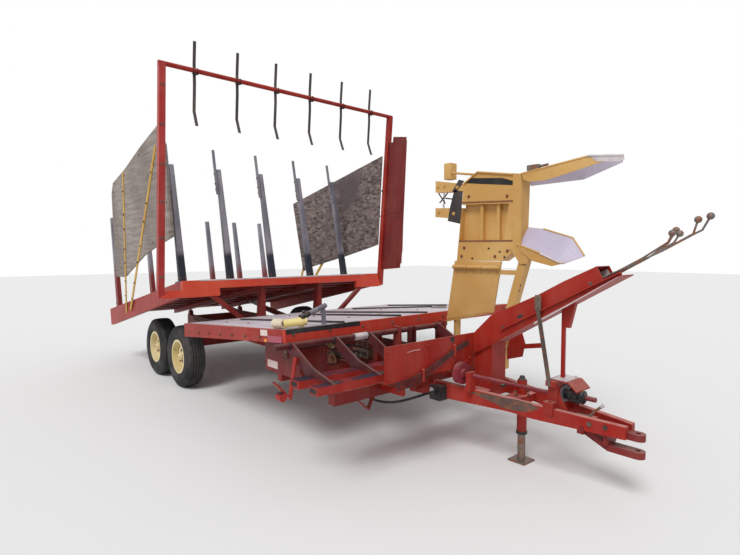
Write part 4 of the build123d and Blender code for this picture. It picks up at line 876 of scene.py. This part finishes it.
@riding("second_table", BLACK)
def stowed_joint(shape):
    centre = table(1.97, -1.236, 0.182)
    along = table(1.94, -1.12, 0.212) - table(1.97, -1.272, 0.165)
    across, up = frame_of(along)
    tube(shape, centre - across * 0.04, centre + across * 0.04, 0.013, 14)
    tube(shape, centre - up * 0.04, centre + up * 0.04, 0.013, 14)
    for sign in (-1, 1):
        reach = along.normalized() * 0.03 * sign
        tube(shape, centre - reach * 1.6, centre + reach * 0.1, 0.024, 18, 0.028)


@riding("second_table", GREY_STEEL)
def stowed_shaft(shape):
    tube(shape, table(1.964, -1.205, 0.188), table(1.9, -0.98, 0.245), 0.021, 20)
    slab(shape, table, (1.89, -1.022, DECK_OVER), (1.93, -0.998, 0.222))


# Toolbox: overlapping lid, hinge, latch and a blank label
# Dark red, as on the toolbox: painted shade.
@riding("chassis", DARK_RED)
def toolbox_lid(shape):
    slab(shape, at, (2.684, -1.286, 0.884), (3.256, -1.014, 0.896))
    slab(shape, at, (2.684, -1.286, 0.862), (3.256, -1.281, 0.886))
    for x in (2.8, 3.14):
        tube(shape, at(x - 0.04, -1.012, 0.888), at(x + 0.04, -1.012, 0.888), 0.008, 12)


@riding("chassis", BOLTS)
def toolbox_latch(shape):
    slab(shape, at, (3.02, -1.287, 0.8), (3.06, -1.28, 0.862))
    pipe(shape, [at(3.014, -1.29, 0.796), at(3.022, -1.298, 0.786), at(3.058, -1.298, 0.786),
                 at(3.066, -1.29, 0.796), at(3.066, -1.288, 0.83)], 0.004)
    bolt(shape, at(3.04, -1.287, 0.815), RIGHT, 0.007)


piece("toolbox_label", "chassis", DECAL,
      lambda shape: slab(shape, at, (2.73, -1.2815, 0.672), (2.9, -1.28, 0.735)))


# Lines along the frame, valve block, the pump's cap and the chain drive behind the outrigger
@riding("chassis", BARE_STEEL)
def frame_lines(shape):
    for y, z, front in ((-0.466, 0.64, 2.96), (-0.466, 0.615, 3.02), (0.466, 0.64, 3.3)):
        sign = math.copysign(1, y)
        pipe(shape, [at(-1.1, y, z), at(0.2, y, z), at(1.6, y, z), at(front - 0.1, y, z),
                     at(front - 0.03, y + sign * 0.006, z + 0.02),
                     at(front, y + sign * 0.01, z + 0.075)], 0.0065)
        for x in (-0.9, 0.1, 1.1, 2.1):
            slab(shape, at, (x, y - 0.009, z - 0.009), (x + 0.03, y + 0.009, z + 0.009))


@riding("chassis", BARE_STEEL)
def valve_block(shape):
    slab(shape, at, (2.88, -0.455, 0.671), (3.1, -0.385, 0.765))
    for x in (2.915, 2.99, 3.065):
        tube(shape, at(x, -0.455, 0.715), at(x, -0.505, 0.715), 0.016, 16)
        tube(shape, at(x, -0.42, 0.765), at(x, -0.42, 0.79), 0.014, 6)
        pipe(shape, [at(x, -0.42, 0.785), at(x, -0.422, 0.815), at(x + 0.03, -0.43, 0.835),
                     at(x + 0.16, -0.432, 0.838), at(x + 0.24, -0.42, 0.8),
                     at(3.345, -0.4, 0.7)], 0.007)


pump_low, pump_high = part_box("hydraulic_pump")
pump_middle = (Vector(pump_low) + Vector(pump_high)) / 2
pump_face = Vector((pump_middle.x - 0.012, pump_low[1], pump_middle.z + 0.022))
piece("pump_cap", "chassis", PALE,
      lambda shape: oval(shape, pump_face, FORWARD * 0.02, UP * 0.027, RIGHT, 0.004))


DRIVE_Z = 0.6
REAR_SPROCKET_X, FRONT_SPROCKET_X = 2.62, 3.1
TOOTH_COUNT = 16
LINK_PITCH = 0.024


@riding("chassis", RUSTY)
def sprockets(shape):
    for x, radius in ((REAR_SPROCKET_X, 0.07), (FRONT_SPROCKET_X, 0.052)):
        centre = at(x, -0.5, DRIVE_Z)
        section = [(0, 0.012), (0, radius), (0.008, radius), (0.008, 0.03), (0.024, 0.028), (0.024, 0.012)]
        lathe(shape, centre, RIGHT, section, 24)
        tube(shape, at(x, -0.4575, DRIVE_Z), at(x, -0.53, DRIVE_Z), 0.0119, 16)
        for tooth in range(TOOTH_COUNT):
            angle = math.tau * tooth / TOOTH_COUNT
            out = Vector((math.cos(angle), 0, math.sin(angle)))
            root = centre + RIGHT * 0.004
            tube(shape, root + out * (radius - 0.002), root + out * (radius + 0.009), 0.004, 6, 0.0018)


def chain_bend(x, radius, first, step, count):
    """Chain round a sprocket, by the angle of its first link and of each step."""
    angles = [math.radians(first + step * index) for index in range(count)]
    return [(x + radius * math.cos(angle), DRIVE_Z + radius * math.sin(angle)) for angle in angles]


@riding("chassis", BLACK)
def drive_chain(shape):
    """Roller chain round both sprockets."""
    run = chain_bend(REAR_SPROCKET_X, 0.078, 95, 12, 15)
    run += [(REAR_SPROCKET_X + LINK_PITCH * step, 0.522 + 0.0009 * step) for step in range(1, 20)]
    run += chain_bend(FRONT_SPROCKET_X, 0.06, -88, 16, 12)
    run += [(FRONT_SPROCKET_X - LINK_PITCH * step, 0.66 + 0.0009 * step) for step in range(1, 20)]
    for (x, z), (next_x, next_z) in zip(run, run[1:] + run[:1]):
        start = at(x, -0.504, z)
        end = at(next_x, -0.504, next_z)
        tube(shape, start + RIGHT * 0.006, start - RIGHT * 0.006, 0.0045, 8)
        for side in (-1, 1):
            shift = RIGHT * 0.006 * side
            up = (end - start).cross(RIGHT).normalized() * 0.0042
            sheet(shape, [start + shift - up, end + shift - up, end + shift + up, start + shift + up],
                  RIGHT * 0.0015 * side)


# Front shield: clamps, seam, bolts, scratch, notch and the lines clipped across its face
SHIELD_FRONT = 4.038


def on_shield(y, z, out=0.0):
    """Point of the shield's front face."""
    return at(SHIELD_FRONT + out, y, z)


@riding("chassis", RED)
def shield_clamps(shape):
    for y, z in ((-0.72, 0.745), (-0.36, 0.885)):
        slab(shape, at, (SHIELD_FRONT, y - 0.01, z - 0.045), (SHIELD_FRONT + 0.026, y + 0.01, z + 0.05))


@riding("chassis", RED)
def shield_seam(shape):
    strip(shape, on_shield(-0.645, 0.745), on_shield(-0.632, 0.745), 0.24, FORWARD * 0.003)
    for y, z in ((-1.06, 0.77), (-1.06, 0.96), (-0.66, 0.77), (-0.66, 0.96), (-0.615, 0.87), (-0.16, 0.8)):
        bolt(shape, on_shield(y, z), FORWARD, 0.01)
    for y in (-0.915, -0.885, -0.215, -0.185):
        bolt(shape, on_shield(y, 0.775), FORWARD, 0.008)


@riding("chassis", PALE)
def shield_scratch(shape):
    corners = [(-0.875, 0.934), (-0.8, 0.941), (-0.735, 0.939), (-0.74, 0.942), (-0.8, 0.9445),
               (-0.87, 0.937)]
    sheet(shape, [on_shield(y, z) for y, z in corners], FORWARD * 0.0006)


@riding("chassis", BLACK)
def shield_notch(shape):
    corners = [(-0.405, 0.998), (-0.345, 0.99), (-0.358, 0.952), (-0.38, 0.944)]
    sheet(shape, [on_shield(y, z) for y, z in corners], FORWARD * 0.001)


# Lowest of the lines across the shield, and how far the others lie above it at both ends
LINE_RUN = [(-0.99, 0.676, 0.01), (-0.86, 0.69, 0.013), (-0.72, 0.72, 0.016), (-0.59, 0.768, 0.014),
            (-0.44, 0.836, 0.013), (-0.3, 0.89, 0.012), (-0.18, 0.915, 0.01)]
LINE_RISES = ((0.0, 0.0), (0.028, 0.012), (0.05, 0.03))
LINE_CHANGE_Y = -0.5


@riding("chassis", SLOT_LOOKS["hose_rubber"])
def shield_lines(shape):
    for outer, inner in LINE_RISES:
        pipe(shape, [on_shield(y, z + (outer if y < LINE_CHANGE_Y else inner), out)
                     for y, z, out in LINE_RUN], 0.0042)


# Boom: slot in its near sheet, strap over the grey prop, bolts and worn edges
@riding("chassis", BLACK)
def boom_slots(shape):
    along = Vector((0.9, 0, 0.436))
    oval(shape, at(4.467, -0.1, 1.176), along * 0.03, along.cross(RIGHT) * -0.012, RIGHT)


@riding("chassis", BOLTS)
def boom_trim(shape):
    slab(shape, at, (4.614, -0.143, 1.24), (4.662, -0.137, 1.35))
    for z in (1.262, 1.325):
        bolt(shape, at(4.638, -0.143, z), RIGHT, 0.009)
    foot, head, half = at(4.735, -0.1242, 0.7), at(4.617, -0.1242, 1.335), Vector((0.0135, 0, 0.0025))
    sheet(shape, [foot - half, foot + half, head + half, head - half], RIGHT * 0.0136)
    for x, z in ((4.314, 1.07438), (5.002, 1.44934)):
        bolt(shape, at(x, -0.1, z), RIGHT, 0.008)
        bolt(shape, at(x, 0.09, z), LEFT, 0.008)


@riding("chassis", PALE)
def boom_wear(shape):
    plate(shape, 0.0835, [(4.885, 1.425), (5.06, 1.5), (5.03, 1.545), (4.9, 1.48)], -0.001)
    plate(shape, -0.1252, [(4.6, 1.132), (4.86, 1.29), (5.19, 1.5), (5.195, 1.505), (4.86, 1.3),
                           (4.6, 1.144)], -0.0008)


# Tongue: pedestal plates, worn patch, bolts, sheave, input flange and joint, pin handle, jack trim
INPUT_Z = 0.635
JACK_X, JACK_Y = 4.4, 0.05
RAIL_SLOPE = 0.1736


def rail_outer(x, z):
    """Point of the right tongue rail's outer face."""
    return at(x, RAIL_SLOPE * (x - 3.8) - 0.3254, z)


@riding("chassis", PALE)
def pedestal_plate(shape):
    slab(shape, at, (4.722, -0.092, 0.745), (4.843, 0.092, 0.75))
    tube(shape, at(5.076, -0.062, 0.616), at(5.092, -0.062, 0.632), 0.0115, 14)
    for x in (4.738, 4.826):
        for y in (-0.078, 0.078):
            bolt(shape, at(x, y, 0.75), UP, 0.008)


@riding("chassis", WORN_BROWN)
def tongue_wear(shape):
    corners = [(4.13, 0.556), (4.26, 0.566), (4.4, 0.564), (4.52, 0.566), (4.62, 0.56), (4.68, 0.536),
               (4.63, 0.5), (4.56, 0.486), (4.47, 0.478), (4.4, 0.484), (4.34, 0.506), (4.26, 0.522)]
    sheet(shape, [rail_outer(x, z) for x, z in corners], RIGHT * 0.0008)


@riding("chassis", BOLTS)
def tongue_bolts(shape):
    bolt_row(shape, rail_outer(5.02, 0.495), rail_outer(5.12, 0.493), 2, RIGHT, 0.011)
    for x, y in ((4.34, 0.05), (4.46, 0.05), (4.4, -0.03), (4.4, 0.13)):
        bolt(shape, at(x, y, 0.54), UP, 0.01)


@riding("chassis", PURPLE)
def sheave_face(shape):
    pulley = [(-0.043, 0.015), (-0.043, 0.087), (-0.036, 0.087), (-0.03, 0.0845), (-0.012, 0.0845),
              (-0.006, 0.087), (0.002, 0.087), (0.003, 0.06), (0.0015, 0.058), (0.0015, 0.036),
              (0.014, 0.032), (0.016, 0.0155)]
    lathe(shape, at(4.0932, -0.3, 0.702), FORWARD, pulley, 48)
    hub = [(0, 0.0145), (0, 0.04), (0.03, 0.036), (0.03, 0.0145)]
    lathe(shape, at(4.0502, -0.3, 0.702), -FORWARD, hub, 32)


@riding("chassis", GREY_STEEL)
def input_flange(shape):
    for y in (-0.042, 0.042):
        for z in (INPUT_Z - 0.042, INPUT_Z + 0.042):
            bolt(shape, at(4.787, y, z), FORWARD, 0.009)
    corners = [(-0.06, 0.6), (-0.045, 0.575), (0.045, 0.575), (0.06, 0.6), (0.06, 0.67),
               (0.045, 0.695), (-0.045, 0.695), (-0.06, 0.67)]
    sheet(shape, [at(4.7815, y, z) for y, z in corners], FORWARD * 0.006)


@riding("chassis", BLACK)
def input_guard(shape):
    """Joint on the input: collars, fork and the cross between them."""
    collars = [(0, 0.0285), (0, 0.036), (0.032, 0.036), (0.036, 0.0475), (0.056, 0.0475), (0.062, 0.0455),
               (0.116, 0.0455), (0.122, 0.0475), (0.14, 0.0475), (0.144, 0.034), (0.152, 0.026),
               (0.152, 0.018)]
    lathe(shape, at(4.788, 0, INPUT_Z), FORWARD, collars, 36)
    cap = [(0, 0.003), (0, 0.018), (0.008, 0.018), (0.01, 0.014), (0.01, 0.003)]
    for out in (RIGHT, LEFT, UP, -UP):
        lathe(shape, at(4.876, 0, INPUT_Z) + out * 0.045, out, cap, 20)


@riding("chassis", RED)
def pedestal_trim(shape):
    for y in (-0.09, 0.084):
        plate(shape, y, [(4.7815, 0.545), (4.85, 0.545), (4.7815, 0.66)], 0.006)
    for y in (-0.14, 0.14):
        bolt(shape, at(4.744, y, 0.59), UP, 0.01)


@riding("chassis", BARE_STEEL)
def pin_handle(shape):
    pipe(shape, [at(4.88, -0.02, 0.5), at(4.9, -0.034, 0.52), at(4.95, -0.05, 0.524),
                 at(5.0, -0.06, 0.534), at(5.024, -0.062, 0.568), at(5.078, -0.062, 0.618)], 0.009, 12)


@riding("chassis", BLACK)
def jack_trim(shape):
    cap = [(0, 0.002), (0, 0.03), (0.008, 0.03), (0.014, 0.022), (0.03, 0.02), (0.034, 0.012),
           (0.034, 0.002)]
    lathe(shape, at(JACK_X, JACK_Y, 0.652), UP, cap, 24)
    collar = [(0, 0.0382), (0, 0.0435), (0.022, 0.0435), (0.022, 0.0382)]
    lathe(shape, at(JACK_X, JACK_Y, 0.222), UP, collar, 32)
    grip = at(4.318, -0.06, 0.614)
    pipe(shape, [at(4.362, 0.05, 0.61), at(4.33, 0.045, 0.612), at(4.322, 0.03, 0.612), grip], 0.007, 12)
    knob = [(0, 0.004), (0, 0.012), (0.05, 0.014), (0.056, 0.01), (0.056, 0.004)]
    lathe(shape, grip, RIGHT, knob, 16)


# Loader: rolled lips, seams, hinge roll, slots, painted shadow under the hood, chain, flares' edges with
# painted sunlight on the upper tip, painted shade in the dark corner and small box
FACE_Y = 0.372


@riding("loader", YELLOW)
def loader_lips(shape):
    pipe(shape, [at(3.545, 0.366, 2.305), at(3.7, 0.366, 2.396), at(4.08, 0.366, 2.331)], 0.009)
    pipe(shape, [at(4.165, 0.356, 2.324), at(4.46, 0.354, 2.358), at(4.755, 0.354, 2.391),
                 at(5.006, 0.356, 2.357)], 0.008)
    pipe(shape, [at(4.135, 0.356, 1.728), at(4.34, 0.354, 1.656), at(4.513, 0.354, 1.581),
                 at(4.56, 0.356, 1.569)], 0.008)
    pipe(shape, [at(4.3, 0.499, 1.857), at(4.562, 0.499, 1.776), at(4.662, 0.497, 1.632)], 0.007)


@riding("loader", RUSTY)
def loader_seams(shape):
    for left, left_z, right, right_z in ((3.52, 2.122, 4.08, 2.096), (3.486, 1.758, 4.08, 1.752)):
        strip(shape, at(left, FACE_Y, left_z), at(right, FACE_Y, right_z), 0.014, RIGHT * 0.003)
    for x, z in ((3.6, 2.18), (4.02, 2.15), (3.55, 1.7), (4.03, 1.67), (3.52, 1.62), (3.9, 1.62)):
        bolt(shape, at(x, FACE_Y, z), RIGHT, 0.01)


@riding("loader", YELLOW)
def loader_hinge(shape):
    for start, end in ((3.436, 3.6), (3.606, 3.78), (3.786, 3.955)):
        tube(shape, at(start, 0.352, 1.52), at(end, 0.352, 1.52), 0.02, 20)
    tube(shape, at(3.428, 0.352, 1.52), at(3.968, 0.352, 1.52), 0.009, 14)
    for x in (3.47, 3.57, 3.66, 3.74, 3.83, 3.92):
        bolt(shape, at(x, FACE_Y, 1.472), RIGHT, 0.008)
    strip(shape, at(3.345, FACE_Y, 0.996), at(3.872, FACE_Y, 1.12), 0.022, RIGHT * 0.004)


@riding("loader", BLACK)
def loader_slots_and_hood_shadow(shape):
    for x, z in ((4.205, 1.551), (4.165, 1.374), (4.152, 1.328)):
        oval(shape, at(x, FACE_Y, z), Vector((0.005, 0, 0)), Vector((0.002, 0, 0.01)), RIGHT)
    for x, z in ((3.95, 1.662), (3.831, 1.693), (3.648, 1.6), (4.0, 1.615)):
        oval(shape, at(x, FACE_Y, z), Vector((0.011, 0, 0)), Vector((0, 0, 0.01)), RIGHT)
    # Dark plate under the top lip: painted shadow under the hood.
    plate(shape, FACE_Y, [(3.552, 2.326), (3.618, 2.35), (3.965, 2.314), (4.078, 2.276), (4.073, 2.24),
                          (3.761, 2.281), (3.562, 2.309)], -0.0015)


@riding("loader", YELLOW)
def loader_arm_trim(shape):
    slab(shape, at, (3.288, 0.374, 2.371), (3.374, 0.47, 2.528))
    tube(shape, at(3.374, 0.4, 2.43), at(3.63, 0.4, 2.385), 0.011, 14)
    for x, z in ((3.22, 2.31), (3.3, 2.31), (3.46, 2.28), (3.23, 2.06), (3.42, 2.03)):
        bolt(shape, at(x, FACE_Y, z), RIGHT, 0.012)


@riding("loader", BOLTS)
def loader_chain(shape):
    for index in range(11):
        centre = at(3.27 + 0.006 * math.sin(index * 1.3), 0.4, 2.235 - 0.0135 * index)
        axis = FORWARD if index % 2 else RIGHT
        ring(shape, centre, axis, 0.0085, 0.0024, 14)


@riding("loader", YELLOW)
def flare_folds(shape):
    """Folded near edges of both flares."""
    upper = ((4.175, 2.318), (4.46, 2.352), (4.755, 2.384), (4.99, 2.352), (4.794, 2.322), (4.573, 2.277),
             (4.385, 2.245), (4.244, 2.25), (4.19, 2.272))
    lower = ((4.138, 1.724), (4.34, 1.652), (4.513, 1.578), (4.55, 1.566), (4.464, 1.545), (4.291, 1.584),
             (4.18, 1.66))
    for outline in (upper, lower):
        plate(shape, 0.3525, outline, 0.002)


@riding("loader", PALE)
def flare_highlight_and_wear(shape):
    """Bright tip of the upper flare, worn and with painted sunlight, and the scraped edge of the lower one.
    """
    pipe(shape, [at(4.74, 0.353, 2.391), at(4.88, 0.354, 2.3755), at(5.004, 0.355, 2.3585)], 0.0095)
    pipe(shape, [at(4.36, 0.353, 1.6485), at(4.513, 0.353, 1.5825), at(4.556, 0.355, 1.571)], 0.009)


@riding("loader", PALE)
def flare_tip(shape):
    """Pale cap on the upper flare's end, made brighter with painted sunlight."""
    outline = ((4.768, 2.388), (5.008, 2.36), (5.016, 2.332), (4.99, 2.318), (4.812, 2.34), (4.786, 2.362))
    plate(shape, 0.35, outline, 0.0025)


@riding("loader", DARK_WEB)
def loader_web(shape):
    """Dark plates of painted shade in the corner between the arms and the trough."""
    for outline in (((3.426, 2.258), (3.53, 2.236), (3.5, 1.93), (3.346, 1.964), (3.372, 2.09)),
                    ((3.48, 2.352), (3.548, 2.332), (3.45, 2.236), (3.395, 2.24))):
        plate(shape, FACE_Y, outline, -0.002)
    for start, start_z, end, end_z in ((3.215, 2.246, 3.3, 2.14), (3.23, 2.15, 3.33, 2.238),
                                       (3.3, 2.19, 3.42, 2.17)):
        tube(shape, at(start, 0.384, start_z), at(end, 0.384, end_z), 0.007, 10)


@riding("loader", BARE_STEEL)
def flare_box(shape):
    slab(shape, at, (4.206, 0.372, 2.345), (4.316, 0.42, 2.392))
    tube(shape, at(4.316, 0.395, 2.372), at(4.392, 0.395, 2.38), 0.01, 14)


# First table: bolts through its beams' ends, clamps and sleeve of its pivot tube, beams' end marks
PIVOT_X, PIVOT_Z = 3.4, 0.965
SLEEVE = [(0, 0.0245), (0, 0.0285), (0.134, 0.0285), (0.134, 0.0245)]


@riding("first_table", BLACK)
def first_table_bolts(shape):
    for y in (-1.46, -1.05, -0.7, 0.15):
        for x in (3.645, 3.705, 3.88, 3.93):
            bolt(shape, at(x, y + 0.03, 0.785), UP, 0.01)
        ring(shape, at(PIVOT_X, y - 0.014, PIVOT_Z), LEFT, 0.0275, 0.0035)
    for x in (3.675, 3.905):
        strip(shape, at(x - 0.038, -1.6005, 0.74), at(x + 0.032, -1.6005, 0.74), 0.035, RIGHT * 0.0008)


piece("pivot_sleeve", "first_table", PALE,
      lambda shape: lathe(shape, at(PIVOT_X, -0.856, PIVOT_Z), LEFT, SLEEVE))

bpy.context.view_layer.update()
